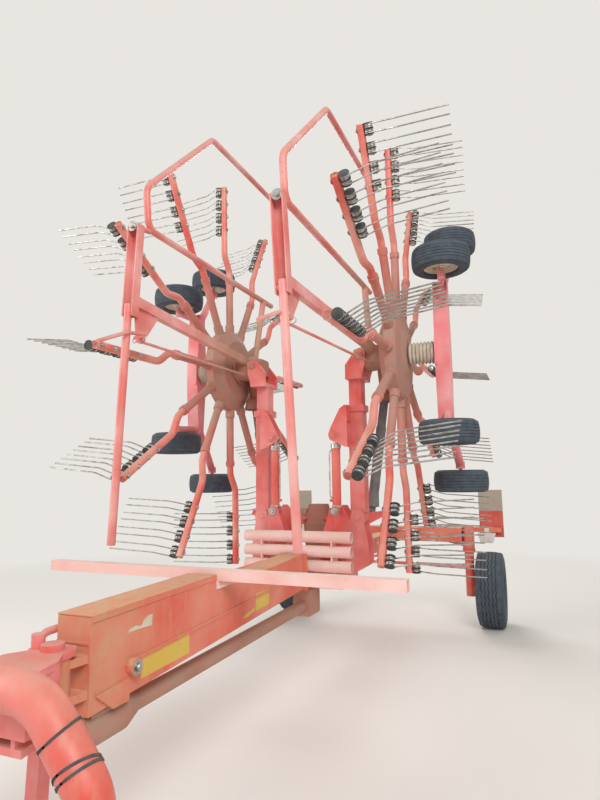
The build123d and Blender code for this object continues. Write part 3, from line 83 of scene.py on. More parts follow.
# %% Camera
CAMERA_PLACE = Vector((1.608, -4.126 + ROTOR_Y, 1.575))
CAMERA_LEFT = math.radians(22.28)
CAMERA_UP = math.radians(7.90)
CAMERA_ROLL = math.radians(-0.70)
PHOTO_HEIGHT = 800
FOCAL_PIXELS = 563.6
SENSOR = 36.0


def add_camera():
    """A camera turned left, tilted up and rolled as the photograph was."""
    ahead = Vector(
        (
            -math.sin(CAMERA_LEFT) * math.cos(CAMERA_UP),
            math.cos(CAMERA_LEFT) * math.cos(CAMERA_UP),
            math.sin(CAMERA_UP),
        )
    )
    right = Vector((math.cos(CAMERA_LEFT), math.sin(CAMERA_LEFT), 0))
    up = right.cross(ahead)
    right_rolled = right * math.cos(CAMERA_ROLL) + up * math.sin(CAMERA_ROLL)
    up_rolled = up * math.cos(CAMERA_ROLL) - right * math.sin(CAMERA_ROLL)
    data = bpy.data.cameras.new("camera")
    data.sensor_width = SENSOR
    data.lens = FOCAL_PIXELS * SENSOR / PHOTO_HEIGHT
    camera = bpy.data.objects.new("camera", data)
    bpy.context.scene.collection.objects.link(camera)
    turn = Matrix((right_rolled, up_rolled, -ahead)).transposed().to_4x4()
    camera.matrix_world = Matrix.Translation(CAMERA_PLACE) @ turn
    bpy.context.scene.camera = camera
    return camera


camera = add_camera()
print("camera lens", round(camera.data.lens, 2), "mm")

# %% [markdown]
# Paint colours are easiest to read as hex values, which are sRGB. Blender's sockets want
# linear values, so one function turns one into the other. A second small function adds a
# shader node with its settings and its links, which keeps every material short.


# %% Colour and node helpers
def linear(hex_colour):
    """An sRGB hex colour as a linear RGBA tuple."""
    values = []
    for start in (1, 3, 5):
        value = int(hex_colour[start : start + 2], 16) / 255
        values.append(value / 12.92 if value <= 0.04045 else ((value + 0.055) / 1.055) ** 2.4)
    return (*values, 1.0)


def add_node(tree, kind, links=None, **settings):
    """A node with its settings, and with its inputs linked to sockets or set to values."""
    node = tree.nodes.new(kind)
    for name, value in settings.items():
        setattr(node, name, value)
    for name, value in (links or {}).items():
        if isinstance(value, bpy.types.NodeSocket):
            tree.links.new(value, node.inputs[name])
        else:
            node.inputs[name].default_value = value
    return node


def new_material(name, **values):
    """An empty node material with its surface shader, ready for colour and bump."""
    material = bpy.data.materials.new(name)
    material.use_nodes = True
    tree = material.node_tree
    tree.nodes.clear()
    surface = add_node(tree, "ShaderNodeBsdfPrincipled", values)
    output = add_node(tree, "ShaderNodeOutputMaterial")
    tree.links.new(surface.outputs["BSDF"], output.inputs["Surface"])
    return material, tree, surface


def noise(tree, size, detail, stretch=(1, 1, 1)):
    """Cloudy noise whose blotches are about size metres across, read in object coordinates."""
    place = add_node(tree, "ShaderNodeTexCoord")
    scale = tuple(1 / (size * share) for share in stretch)
    links = {"Vector": place.outputs["Object"], "Scale": scale}
    scaled = add_node(tree, "ShaderNodeMapping", links)
    links = {"Vector": scaled.outputs["Vector"], "Scale": 1.0, "Detail": detail}
    return add_node(tree, "ShaderNodeTexNoise", links).outputs["Fac"]


def ramp(tree, value, low, high, start=0.0, end=1.0):
    """A value stretched from one range to another and held at the ends."""
    return add_node(
        tree,
        "ShaderNodeMapRange",
        {"Value": value, "From Min": low, "From Max": high, "To Min": start, "To Max": end},
    ).outputs["Result"]


def mix_colour(tree, share, first, second):
    """Two colours, or colour sockets, mixed by a share."""
    # The mix node's inputs 6 and 7 are its two colours, and output 2 is their mix.
    links = {0: share, 6: first, 7: second}
    return add_node(tree, "ShaderNodeMix", links, data_type="RGBA").outputs[2]


def upward(tree):
    """How far the surface faces up, from 0 on walls and undersides to 1 on a floor."""
    place = add_node(tree, "ShaderNodeTexCoord")
    parts = add_node(tree, "ShaderNodeSeparateXYZ", {"Vector": place.outputs["Normal"]})
    return ramp(tree, parts.outputs["Z"], 0.15, 0.9)


def multiply(tree, first, second):
    """The product of two values or sockets."""
    product = add_node(tree, "ShaderNodeMath", {0: first, 1: second}, operation="MULTIPLY")
    return product.outputs["Value"]


def add_up(tree, first, second):
    """The sum of two values or sockets, held between 0 and 1."""
    links = {0: first, 1: second}
    total = add_node(tree, "ShaderNodeMath", links, operation="ADD", use_clamp=True)
    return total.outputs["Value"]


def add_bump(tree, surface, height, strength, distance):
    """Fine relief from a value, as deep as the distance, on the surface shader."""
    links = {"Height": height, "Strength": strength, "Distance": distance}
    bump = add_node(tree, "ShaderNodeBump", links)
    tree.links.new(bump.outputs["Normal"], surface.inputs["Normal"])


# %% [markdown]
# Machine enamel is a thick glossy alkyd paint, sprayed on. Years of sun turn it chalky and
# pinkish in blotches, harvest dust settles on whatever faces up, and small chips show the
# brown primer. Noises at real sizes do this: blotches of about 300 mm, dust of about 60 mm,
# streaks of 26 mm that run down and chips of a few millimetres. Dust lies thicker round the
# rotor hubs and at the beam's front end.

# %% Sun-faded enamel
BLOTCH_SIZE = 300 * MM
BLOTCH_RANGE = (0.35, 0.68)
STREAK_SIZE = 26 * MM
STREAK_STRETCH = (1, 1, 6)
STREAK_RANGE = (0.52, 0.80)
STREAK_STRENGTH = 0.35
CHIP_SIZE = 7 * MM
CHIP_EDGE = 0.04
CHIP_STRENGTH = 0.7
DUST_SIZE = 60 * MM
DUST_RANGE = (0.30, 0.62)
ORANGE_PEEL = 2.5 * MM
PRIMER = "#6b4a3c"
CLEAN_ROUGHNESS = 0.36
DUSTY_ROUGHNESS = 0.85
HUB_DUST_FAR = 0.95
HUB_DUST_NEAR = 0.30
NOSE_DUST_REAR = ROTOR_Y - 1.95
NOSE_DUST_FRONT = ROTOR_Y - 2.35


def near_hub(tree):
    """1 close to the rotor axis and 0 at arm's length from it, in the plane the rotor turns in."""
    place = add_node(tree, "ShaderNodeTexCoord")
    axis = (0, -ROTOR_Y, -ROTOR_Z)
    links = {"Vector": place.outputs["Object"], "Location": axis, "Scale": (0, 1, 1)}
    centred = add_node(tree, "ShaderNodeMapping", links)
    links = {0: centred.outputs["Vector"]}
    reach = add_node(tree, "ShaderNodeVectorMath", links, operation="LENGTH")
    return ramp(tree, reach.outputs["Value"], HUB_DUST_FAR, HUB_DUST_NEAR)


def near_nose(tree):
    """1 at the beam's front end, where the drive throws its dirt, and 0 behind it."""
    place = add_node(tree, "ShaderNodeTexCoord")
    parts = add_node(tree, "ShaderNodeSeparateXYZ", {"Vector": place.outputs["Object"]})
    return ramp(tree, parts.outputs["Y"], NOSE_DUST_REAR, NOSE_DUST_FRONT)


def enamel(
    name, fresh, faded, dust, dust_on_top, dust_all_over, chips=0.30, hub_dust=0.0, nose_dust=0.0
):
    """Sprayed alkyd enamel, sun-faded in blotches, dusty on top and chipped to the primer."""
    material, tree, surface = new_material(name, Metallic=0.0)
    blotch = ramp(tree, noise(tree, BLOTCH_SIZE, 4.0), *BLOTCH_RANGE)
    paint = mix_colour(tree, blotch, linear(fresh), linear(faded))
    runs = noise(tree, STREAK_SIZE, 3.0, STREAK_STRETCH)
    streak = ramp(tree, runs, *STREAK_RANGE, 0.0, STREAK_STRENGTH)
    paint = mix_colour(tree, streak, paint, linear(dust))
    chip = ramp(tree, noise(tree, CHIP_SIZE, 2.0), 1.0 - chips, 1.0 - chips + CHIP_EDGE)
    cloud = ramp(tree, noise(tree, DUST_SIZE, 5.0), *DUST_RANGE)
    settled = multiply(tree, upward(tree), dust_on_top)
    everywhere = add_up(tree, settled, dust_all_over)
    if hub_dust:
        everywhere = add_up(tree, everywhere, multiply(tree, near_hub(tree), hub_dust))
    if nose_dust:
        everywhere = add_up(tree, everywhere, multiply(tree, near_nose(tree), nose_dust))
    coat = multiply(tree, add_up(tree, multiply(tree, cloud, 0.5), 0.5), everywhere)
    worn = mix_colour(tree, multiply(tree, chip, CHIP_STRENGTH), paint, linear(PRIMER))
    colour = mix_colour(tree, coat, worn, linear(dust))
    tree.links.new(colour, surface.inputs["Base Color"])
    rough = ramp(tree, coat, 0.0, 0.8, CLEAN_ROUGHNESS, DUSTY_ROUGHNESS)
    tree.links.new(rough, surface.inputs["Roughness"])
    peel = multiply(tree, noise(tree, ORANGE_PEEL, 1.0), 0.35)
    height = add_up(tree, peel, multiply(tree, coat, 0.5))
    add_bump(tree, surface, height, 0.18, 0.6 * MM)
    return material


# Name, fresh paint, faded paint, dust, share of dust on top and share of dust all over.
red_enamel = enamel("faded_red_enamel", "#dc504c", "#ef9a96", "#c6a08c", 0.60, 0.06)
# The chassis enamel is a paler, pinker copy of the red enamel: its pink is painted light, standing
# in for the daylight that falls on the chassis.
chassis_enamel_painted_light = enamel("painted_light_pink_red_enamel", "#e26467", "#f3aaad", "#c6a08c", 0.55, 0.06)
guard_enamel = enamel(
    "sunburnt_red_enamel", "#e0716c", "#f2b6b2", "#b8987e", 0.85, 0.12, hub_dust=0.9
)
beam_enamel = enamel(
    "dusty_red_enamel", "#dc4c38", "#e4836e", "#c8a27e", 0.90, 0.15, nose_dust=0.48
)
pale_enamel = enamel("chalky_pink_enamel", "#edb1a8", "#f6d2cd", "#dfcbbd", 0.80, 0.14)
glossy_enamel = enamel("glossy_red_enamel", "#dc4a3c", "#ea857c", "#cba58c", 0.45, 0.02, chips=0.24)
rotor_enamel = enamel(
    "worn_red_enamel", "#d25a50", "#e08c80", "#a88c7c", 0.75, 0.10, chips=0.36, hub_dust=0.85
)
hub_enamel = enamel("earthy_red_enamel", "#b8604c", "#be8674", "#a68c7a", 0.90, 0.62, chips=0.34)
bright_enamel = enamel("bright_red_enamel", "#dc4c40", "#e8766a", "#c09a80", 0.5, 0.08, chips=0.28)
arm_enamel = enamel(
    "patchy_red_enamel", "#dc5044", "#eda598", "#c8a690", 0.60, 0.08, chips=0.32, hub_dust=0.35
)
print("enamels ready")

# %% [markdown]
# Spring steel wire is drawn, hardened and left bare. Grass polishes it to a pale silver,
# with a brownish film where it isn't rubbed.

# %% Bare steel
DIRT_SIZE = 35 * MM
STEEL_GRAIN = 3 * MM


def bare_steel(name, bright, dull, rough_low, rough_high):
    """Polished or zinc-plated steel with a patchy film of dirt."""
    material, tree, surface = new_material(name, Metallic=1.0)
    film = ramp(tree, noise(tree, DIRT_SIZE, 4.0), 0.4, 0.7)
    colour = mix_colour(tree, film, linear(bright), linear(dull))
    tree.links.new(colour, surface.inputs["Base Color"])
    tree.links.new(ramp(tree, film, 0, 1, rough_low, rough_high), surface.inputs["Roughness"])
    grain = noise(tree, STEEL_GRAIN, 2.0)
    add_bump(tree, surface, grain, 0.1, 0.2 * MM)
    return material


spring_steel = bare_steel("drawn_spring_steel", "#b9b9b6", "#8d8579", 0.34, 0.55)
zinc_steel = bare_steel("zinc_plated_steel", "#c9ccc8", "#9b978c", 0.32, 0.6)

# %% [markdown]
# Tyres are carbon-black rubber, moulded. In daylight old dusty rubber looks slate grey, and
# it is never glossy. Moulded plastic guards are the same idea with a lighter pigment. Rims,
# labels and plates are painted too, each in its own colours.

# %% Rubber and plastic
RUBBER_DUST_SIZE = 45 * MM
RUBBER_GRAIN = 4 * MM
SETTLED_SHARE = 0.6


def dull_polymer(name, colour, dusty, dust_share, rough=0.72):
    """Moulded rubber or plastic with a thin uneven coat of dust."""
    material, tree, surface = new_material(name, Metallic=0.0)
    cloud = ramp(tree, noise(tree, RUBBER_DUST_SIZE, 5.0), 0.35, 0.72)
    settled = multiply(tree, upward(tree), dust_share * SETTLED_SHARE)
    share = add_up(tree, multiply(tree, cloud, dust_share), settled)
    shade = mix_colour(tree, share, linear(colour), linear(dusty))
    tree.links.new(shade, surface.inputs["Base Color"])
    tree.links.new(ramp(tree, share, 0, 1, rough, 0.95), surface.inputs["Roughness"])
    height = noise(tree, RUBBER_GRAIN, 3.0)
    add_bump(tree, surface, height, 0.2, 0.4 * MM)
    return material


tyre_rubber = dull_polymer("moulded_tyre_rubber", "#38434f", "#70777c", 0.32)
clamp_rubber = dull_polymer("moulded_clamp_rubber", "#2a2e32", "#74726c", 0.42)
guard_plastic = dull_polymer("moulded_guard_plastic", "#6b6e71", "#98928a", 0.5, rough=0.55)
bellows_rubber = dull_polymer("pale_bellows_rubber", "#cfc6b8", "#a8977f", 0.6)
rim_paint = enamel("cream_rim_enamel", "#d9cfb6", "#e2dac6", "#a89274", 0.5, 0.3, chips=0.3)
label_yellow = enamel("yellow_label_film", "#d9b62e", "#dfc04a", "#c1a070", 0.3, 0.25, chips=0.30)
reflector_red = enamel("red_reflector_film", "#c33a30", "#d55b50", "#b08a70", 0.3, 0.12, chips=0.22)
plate_white = enamel("white_plate_enamel", "#dfe0db", "#e6e6e2", "#b7a68c", 0.4, 0.15, chips=0.22)
board_grey = enamel("grey_board_enamel", "#a39d95", "#aea79e", "#a98f74", 0.4, 0.35, chips=0.25)
print("materials", len(bpy.data.materials))

# %% [markdown]
# Every CAD node keeps its mesh and gets the finish of the real part. A table says which, by
# the start of the node's name.

# %% Finish of the CAD nodes
FINISH = {
    "main_beam": beam_enamel,
    "front_crossbar": pale_enamel,
    "tube_rack": pale_enamel,
    "drive_line": hub_enamel,
    "rear_spine": beam_enamel,
    "axle_beam": beam_enamel,
    "centre_gearbox": hub_enamel,
    "centre_frame": red_enamel,
    "headstock_arch": glossy_enamel,
    "swivel_head": red_enamel,
    "parking_stand": red_enamel,
    "steering_rod": red_enamel,
    "bell_crank": red_enamel,
    "tie_rod": red_enamel,
    "knuckle": bright_enamel,
    "lift_arm": red_enamel,
    "head_tube": red_enamel,
    "lift_barrel": bright_enamel,
    "lift_rod": zinc_steel,
    "drive_shaft_outer": guard_plastic,
    "drive_shaft_inner": guard_plastic,
    "rotor_gearbox": hub_enamel,
    "column_bellows": bellows_rubber,
    "chassis": chassis_enamel_painted_light,
    "guard": guard_enamel,
    "rotor_hub": rotor_enamel,
    "tine_arms": rotor_enamel,
    "small_wheel": tyre_rubber,
    "transport_tyre": tyre_rubber,
    "transport_rim": rim_paint,
    "light_boards": board_grey,
    "marker_plates": plate_white,
}


def paint_nodes():
    """Gives each CAD node the finish of the longest matching name in the table."""
    for name, node in nodes.items():
        matches = [start for start in FINISH if name.startswith(start)]
        finish = FINISH[max(matches, key=len)]
        node.data.materials.clear()
        node.data.materials.append(finish)


paint_nodes()

# %% [markdown]
# New pieces are modelled as by hand: a primitive is added, shaped in edit mode, and given its
# place in its own mesh. Helpers do the routine part. One clears the selection, because an
# operator acts on everything selected. One copies a piece with a mesh of its own, turned or
# mirrored, and one joins several. One names a piece, gives it its finish and its body, and
# rounds the look of shallow edges.


# %% Helpers for pieces
def clear_selection():
    """Nothing selected and nothing active."""
    bpy.ops.object.select_all(action="DESELECT")
    bpy.context.view_layer.objects.active = None


def edit(piece):
    """Enters edit mode on one piece with all of it selected."""
    clear_selection()
    piece.select_set(True)
    bpy.context.view_layer.objects.active = piece
    bpy.ops.object.mode_set(mode="EDIT")
    bpy.ops.mesh.select_all(action="SELECT")


def copied(piece, matrix):
    """A copy with its own mesh, moved by a matrix; a mirrored one has its faces turned back."""
    twin = piece.copy()
    twin.data = piece.data.copy()
    bpy.context.scene.collection.objects.link(twin)
    twin.data.transform(matrix)
    if matrix.determinant() < 0:
        twin.data.flip_normals()
    return twin


def joined(pieces):
    """Several pieces as one mesh."""
    clear_selection()
    for piece in pieces:
        piece.select_set(True)
    bpy.context.view_layer.objects.active = pieces[0]
    bpy.ops.object.join()
    return bpy.context.object


def settle(piece):
    """Writes the object's place, turn and size into its mesh."""
    clear_selection()
    piece.select_set(True)
    bpy.context.view_layer.objects.active = piece
    bpy.ops.object.transform_apply(location=True, rotation=True, scale=True)
    return piece


def finished(piece, name, body, material, angle=35):
    """Names a piece, gives it finish and body, and smooths edges flatter than the angle."""
    settle(piece)
    piece.name = name
    piece.data.materials.clear()
    piece.data.materials.append(material)
    bpy.ops.object.shade_smooth_by_angle(angle=math.radians(angle))
    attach(piece, body)


def dropped(piece):
    """Removes a pattern piece once its copies are made."""
    bpy.data.objects.remove(piece, do_unlink=True)


MIRROR = Matrix.Scale(-1, 4, Vector((1, 0, 0)))


def on_side(side, matrix=None):
    """The matrix of a piece modelled for the right side, mirrored where the side is -1."""
    matrix = matrix or Matrix.Identity(4)
    return matrix if side == 1 else MIRROR @ matrix


# %% [markdown]
# Round parts, such as tyres, rims and washers, are turned on a lathe or moulded in a round
# mould. A circle is added, and its edge is extruded and resized along the part's profile,
# ring by ring. Tubes and wires are a path with a round bevel, made a mesh.

# %% Turned parts and swept tubes
WASHER_THICK = 2 * MM
WASHER_SHARE = 0.95
WASHER_HOLE_SHARE = 0.30
CHAMFER_SHARE = 0.06


def in_metres(points):
    """A profile or a path that is written in millimetres, in metres."""
    return [tuple(value * MM for value in point) for point in points]


def band(inside, outside, start, end):
    """The closed profile of a plain band or collar round a bar."""
    return [(start, inside), (start, outside), (end, outside), (end, inside), (start, inside)]


def turned_part(profile, steps, closed=False):
    """A turned part about Z from (height, radius) pairs; a closed one joins its ends."""
    clear_selection()
    height, radius = profile[0]
    bpy.ops.mesh.primitive_circle_add(vertices=steps, radius=radius, location=(0, 0, height))
    part = bpy.context.object
    settle(part)
    edit(part)
    for (height, radius), (next_height, next_radius) in zip(profile, profile[1:]):
        rise = {"value": (0, 0, next_height - height)}
        bpy.ops.mesh.extrude_edges_move(TRANSFORM_OT_translate=rise)
        share = next_radius / radius
        bpy.ops.transform.resize(value=(share, share, 1), center_override=(0, 0, next_height))
    bpy.ops.mesh.select_all(action="SELECT")
    if closed:
        bpy.ops.mesh.remove_doubles(threshold=0.01 * MM)
    else:
        bpy.ops.mesh.fill_holes(sides=0)
    bpy.ops.mesh.normals_make_consistent(inside=False)
    bpy.ops.object.mode_set(mode="OBJECT")
    return part


def swept_tube(points, radius, sides, smooth=True, resolution=6):
    """A round bar along a path: smooth through its points, or straight from one to the next."""
    clear_selection()
    bpy.ops.curve.primitive_nurbs_path_add()
    path = bpy.context.object
    path.data.splines.clear()
    spline = path.data.splines.new("NURBS" if smooth else "POLY")
    spline.points.add(len(points) - 1)
    for spot, place in zip(spline.points, points):
        spot.co = (*place, 1)
    if smooth:
        spline.order_u = 3
        spline.use_endpoint_u = True
        spline.resolution_u = resolution
    path.data.bevel_depth = radius
    path.data.bevel_resolution = (sides - 4) // 2
    path.data.use_fill_caps = True
    bpy.ops.object.convert(target="MESH")
    return bpy.context.object


def bevelled_box(low, high, edge, segments=2):
    """A block between two corners with rounded edges."""
    clear_selection()
    middle = [(a + b) / 2 for a, b in zip(low, high)]
    size = [abs(b - a) for a, b in zip(low, high)]
    bpy.ops.mesh.primitive_cube_add(size=1, location=middle)
    box = bpy.context.object
    box.scale = size
    settle(box)
    edit(box)
    bpy.ops.mesh.bevel(offset=edge, segments=segments, affect="EDGES")
    bpy.ops.object.mode_set(mode="OBJECT")
    return box


def hex_bolt(size, washer=True):
    """A hexagon head on its washer, standing on Z = 0; size is across flats and height."""
    across, height = size
    clear_selection()
    bpy.ops.mesh.primitive_cylinder_add(vertices=6, radius=across / math.sqrt(3), depth=height)
    head = bpy.context.object
    head.location = (0, 0, height / 2 + (WASHER_THICK if washer else 0))
    settle(head)
    edit(head)
    bpy.ops.mesh.bevel(offset=across * CHAMFER_SHARE, segments=1, affect="EDGES")
    bpy.ops.object.mode_set(mode="OBJECT")
    if not washer:
        return head
    hole, edge = across * WASHER_HOLE_SHARE, across * WASHER_SHARE
    ring = turned_part([(0, hole), (0, edge), (WASHER_THICK, edge), (WASHER_THICK, hole)], 20)
    return joined([head, ring])


def aimed(place, direction, turn=0.0):
    """A matrix that stands a part at a place with its Z along a direction."""
    look = Vector(direction).to_track_quat("Z", "Y").to_matrix().to_4x4()
    return Matrix.Translation(Vector(place)) @ look @ Matrix.Rotation(turn, 4, "Z")


# %% [markdown]
# Each rotor has twelve tine arms. The inner half is welded to the hub; the outer half, which
# plugs into it, is a tube with a gentle double bend, so that the tines trail behind the arm.
# One outer tube is swept along its path and copied round the rotor in steps of 30 degrees.
# A cap closes its end. Reaches are distances from the rotor's axis.

# %% Outer tine arms
ARM_COUNT = 12
ARM_PHASE = 1.0
ARM_X = 722 * MM
ARM_R = 26 * MM
ARM_OFFSET = 85 * MM
ARM_REACH = (800.3, 845, 880, 930, 980, 1015, 1060, 1330, 1600)
ARM_ACROSS = (0, 0, 8, 42.5, 77, 85, 85, 85, 85)
ARM_CAP_REACH = 1591 * MM
ARM_CAP_PROFILE = ((0, 18), (0, 25), (5, 26.5), (9, 24), (9, 8))


def on_rotor(radius, across, x):
    """A place on the arm at angle 0: outward along Y, across along Z and along the axis X."""
    return (x, ROTOR_Y + radius, ROTOR_Z + across)


def arm_turn(index):
    """The turn about the rotor axis that carries a piece from angle 0 to one arm."""
    centre = Matrix.Translation((0, ROTOR_Y, ROTOR_Z))
    turn = Matrix.Rotation(math.radians(ARM_PHASE + index * 360 / ARM_COUNT), 4, "X")
    return centre @ turn @ centre.inverted()


def round_the_rotor(pattern, side):
    """One copy of a pattern for each arm of a rotor, joined."""
    return joined([copied(pattern, on_side(side, arm_turn(index))) for index in range(ARM_COUNT)])


arm_places = in_metres(zip(ARM_REACH, ARM_ACROSS))
arm_path = [on_rotor(reach, across, ARM_X) for reach, across in arm_places]
arm_pattern = swept_tube(arm_path, ARM_R, sides=16, resolution=5)
cap_pattern = turned_part(in_metres(ARM_CAP_PROFILE), 20)
arm_cap = copied(cap_pattern, aimed(on_rotor(ARM_CAP_REACH, ARM_OFFSET, ARM_X), (0, 1, 0)))
dropped(cap_pattern)
arm_pattern = joined([arm_pattern, arm_cap])
for name, side in SIDES:
    arms = round_the_rotor(arm_pattern, side)
    finished(arms, f"outer_arms_{name}", f"rotor_{name}", arm_enamel, angle=50)
    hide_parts(f"tine_arms_{name}")
    print(arms.name, len(arms.data.polygons), "faces")
dropped(arm_pattern)

# %% [markdown]
# A double tine is one piece of spring wire: a straight leg, a coil, a loop under the clamp,
# a second coil and a second leg. The coils let a leg give way when it hits a stone. The path
# is worked out for one tine and copied four times along the arm and round the rotor.

# %% Double spring tines
WIRE_R = 4.6 * MM
COIL_R = 25 * MM
COIL_X = ARM_X + 50 * MM
COIL_PITCH = 9.4 * MM
LEG_SPREAD = 26.5 * MM
TINE_PLACES = [(1220 + 115 * index) * MM for index in range(4)]
TIP_X = 1268 * MM
KNEE_X = 940 * MM
TIP_ACROSS = -5 * MM
KNEE_ACROSS = 35.5 * MM
KNEE_BEND = ((-2, 26), (0.5, 0), (7, -26))
COIL_TURNS = 2.3
COIL_STEPS = 12
LEAVE_ANGLE = math.radians(22)
LOOP_HALF = 3 * MM
LOOP_ACROSS = ARM_OFFSET - 6 * MM
LOOP_X = ARM_X + 24 * MM


def tine_half(radius, way):
    """Points of one leg and coil, from the tip to the middle loop."""
    reach = radius + way * LEG_SPREAD
    points = [on_rotor(reach, TIP_ACROSS, TIP_X)]
    for across, x in KNEE_BEND:
        points.append(on_rotor(reach, KNEE_ACROSS + across * MM, KNEE_X + x * MM))
    for step in range(round(COIL_TURNS * COIL_STEPS) + 1):
        angle = LEAVE_ANGLE - step * 2 * math.pi / COIL_STEPS
        along = way * (LEG_SPREAD - step / COIL_STEPS * COIL_PITCH)
        across = ARM_OFFSET + COIL_R * math.cos(angle)
        x = COIL_X + COIL_R * math.sin(angle)
        points.append(on_rotor(radius + along, across, x))
    points.append(on_rotor(radius + way * LOOP_HALF, LOOP_ACROSS, LOOP_X))
    return points


def tine_path(radius):
    """The whole wire, from tip to tip."""
    return tine_half(radius, -1) + tine_half(radius, 1)[::-1]


wires = [swept_tube(tine_path(radius), WIRE_R, sides=6, smooth=False) for radius in TINE_PLACES]
tine_pattern = joined(wires)
for name, side in SIDES:
    tines = round_the_rotor(tine_pattern, side)
    finished(tines, f"spring_tines_{name}", f"rotor_{name}", spring_steel, angle=60)
    print(tines.name, len(tines.data.polygons), "faces")
dropped(tine_pattern)

# %% [markdown]
# Each double tine is held by a moulded rubber bush in its coils, a round zinc cap on the bush
# and a bolt through the arm, whose head shows on the far side of the tube. The bush has three
# flanges that keep the two coils apart.

# %% Bushes, caps and bolts of the tines
BUSH_R = 20 * MM
BUSH_HALF = 36 * MM
BUSH_BORE_R = 8 * MM
FLANGE_R = BUSH_R + 12 * MM
FLANGE_EDGE_R = BUSH_R + 11 * MM
SADDLE_LOW = (ARM_X + 14 * MM, -14 * MM, -16 * MM)
SADDLE_HIGH = (COIL_X, 14 * MM, 16 * MM)
TINE_CAP_PROFILE = ((0, 8), (0, 23), (4, 23), (8, 17), (9, 6))
TINE_BOLT = (19 * MM, 8 * MM)
TINE_BOLT_X = ARM_X - ARM_R + 1 * MM

bush_profile = [
    (-BUSH_HALF, BUSH_BORE_R),
    (-BUSH_HALF, FLANGE_EDGE_R),
    (-BUSH_HALF + 5 * MM, FLANGE_R),
    (-BUSH_HALF + 8 * MM, BUSH_R),
    (-7 * MM, BUSH_R),
    (-4 * MM, FLANGE_R),
    (4 * MM, FLANGE_R),
    (7 * MM, BUSH_R),
    (BUSH_HALF - 8 * MM, BUSH_R),
    (BUSH_HALF - 5 * MM, FLANGE_R),
    (BUSH_HALF, FLANGE_EDGE_R),
    (BUSH_HALF, BUSH_BORE_R),
]
bush = turned_part(bush_profile, 16)
saddle = bevelled_box(SADDLE_LOW, SADDLE_HIGH, 4 * MM)
cap = turned_part(in_metres(TINE_CAP_PROFILE), 16)
bolt = hex_bolt(TINE_BOLT)
bushes = []
caps = []
bolts = []
for radius in TINE_PLACES:
    bushes.append(copied(bush, aimed(on_rotor(radius, ARM_OFFSET, COIL_X), (0, 1, 0))))
    bushes.append(copied(saddle, Matrix.Translation((0, ROTOR_Y + radius, ROTOR_Z + ARM_OFFSET))))
    caps.append(copied(cap, aimed(on_rotor(radius - BUSH_HALF, ARM_OFFSET, COIL_X), (0, -1, 0))))
    bolts.append(copied(bolt, aimed(on_rotor(radius, ARM_OFFSET, TINE_BOLT_X), (-1, 0, 0))))
for pattern in (bush, saddle, cap, bolt):
    dropped(pattern)
for label, pieces, finish, slot in (
    ("tine_bushes", bushes, clamp_rubber, "tyre_rubber"),
    ("tine_caps", caps, zinc_steel, "steel"),
    ("tine_bolts", bolts, zinc_steel, "steel"),
):
    pattern = joined(pieces)
    for name, side in SIDES:
        ready = round_the_rotor(pattern, side)
        finished(ready, f"{label}_{name}", f"rotor_{name}", finish)
        print(ready.name, len(ready.data.polygons), "faces")
    dropped(pattern)

# %% [markdown]
# The rotor runs on four small wheels with wide low-pressure tyres. The tyre is one turned
# profile with six fine ribs round the tread, and the pressed rim has a dished disc, a rolled
# edge and four bolts round a hub cap. One tyre and one rim are turned and copied eight times.

# %% Small wheels
SMALL_R = 203 * MM
SMALL_HALF = 82.5 * MM
SMALL_RIM_R = 120 * MM
SMALL_RIBS = 6
SMALL_GROOVE = 3.5 * MM
SMALL_SHOULDER = 46 * MM
SMALL_BOLT_CIRCLE = 72 * MM
DISC_FACE = 34 * MM
HUB_FACE = 46 * MM
HUB_CAP_PROFILE = ((0, 8), (0, 24), (6, 24), (13, 18), (15, 6))
RIM_BOLT = (17 * MM, 9 * MM)


def ribbed_profile(outer, half, bead, ribs, depth, shoulder):
    """A tyre's closed profile: sidewalls, rounded shoulders and a tread with grooves."""
    points = [
        (-half * 0.74, bead),
        (-half * 0.90, bead + 4 * MM),
        (-half * 0.97, bead + (outer - bead) * 0.22),
        (-half, bead + (outer - bead) * 0.45),
        (-half * 0.985, bead + (outer - bead) * 0.66),
        (-half * 0.93, outer - shoulder * 0.62),
        (-half * 0.85, outer - shoulder * 0.26),
    ]
    tread = half * 0.76
    pitch = 2 * tread / ribs
    for index in range(ribs):
        start = -tread + index * pitch
        crown = shoulder * 0.16
        for share, drop in ((0.0, 0.0), (0.78, 0.0), (0.82, 1.0), (0.96, 1.0)):
            z = start + share * pitch
            sink = crown * (z / tread) ** 2 + (drop * depth if index < ribs - 1 else 0.0)
            points.append((z, outer - sink))
    mirrored = [(-z, radius) for z, radius in points[:7][::-1]]
    return points + mirrored + [points[0]]


def small_rim_profile():
    """The pressed rim and disc of a small wheel, as one closed profile."""
    r = SMALL_RIM_R / MM
    points = [(-60, r - 2), (-66, r + 10), (-61, r + 15), (-55, r + 4), (-50, r - 3), (50, r - 3)]
    points += [(55, r + 4), (61, r + 15), (66, r + 10), (60, r - 2), (52, r - 8), (42, r - 14)]
    points += [(34, r - 34), (36, r - 52), (42, 46), (46, 40), (46, 14.5), (-46, 14.5), (-46, 40)]
    points += [(-42, 46), (-36, r - 52), (-34, r - 34), (-42, r - 14), (-52, r - 8), (-60, r - 2)]
    return in_metres(points)


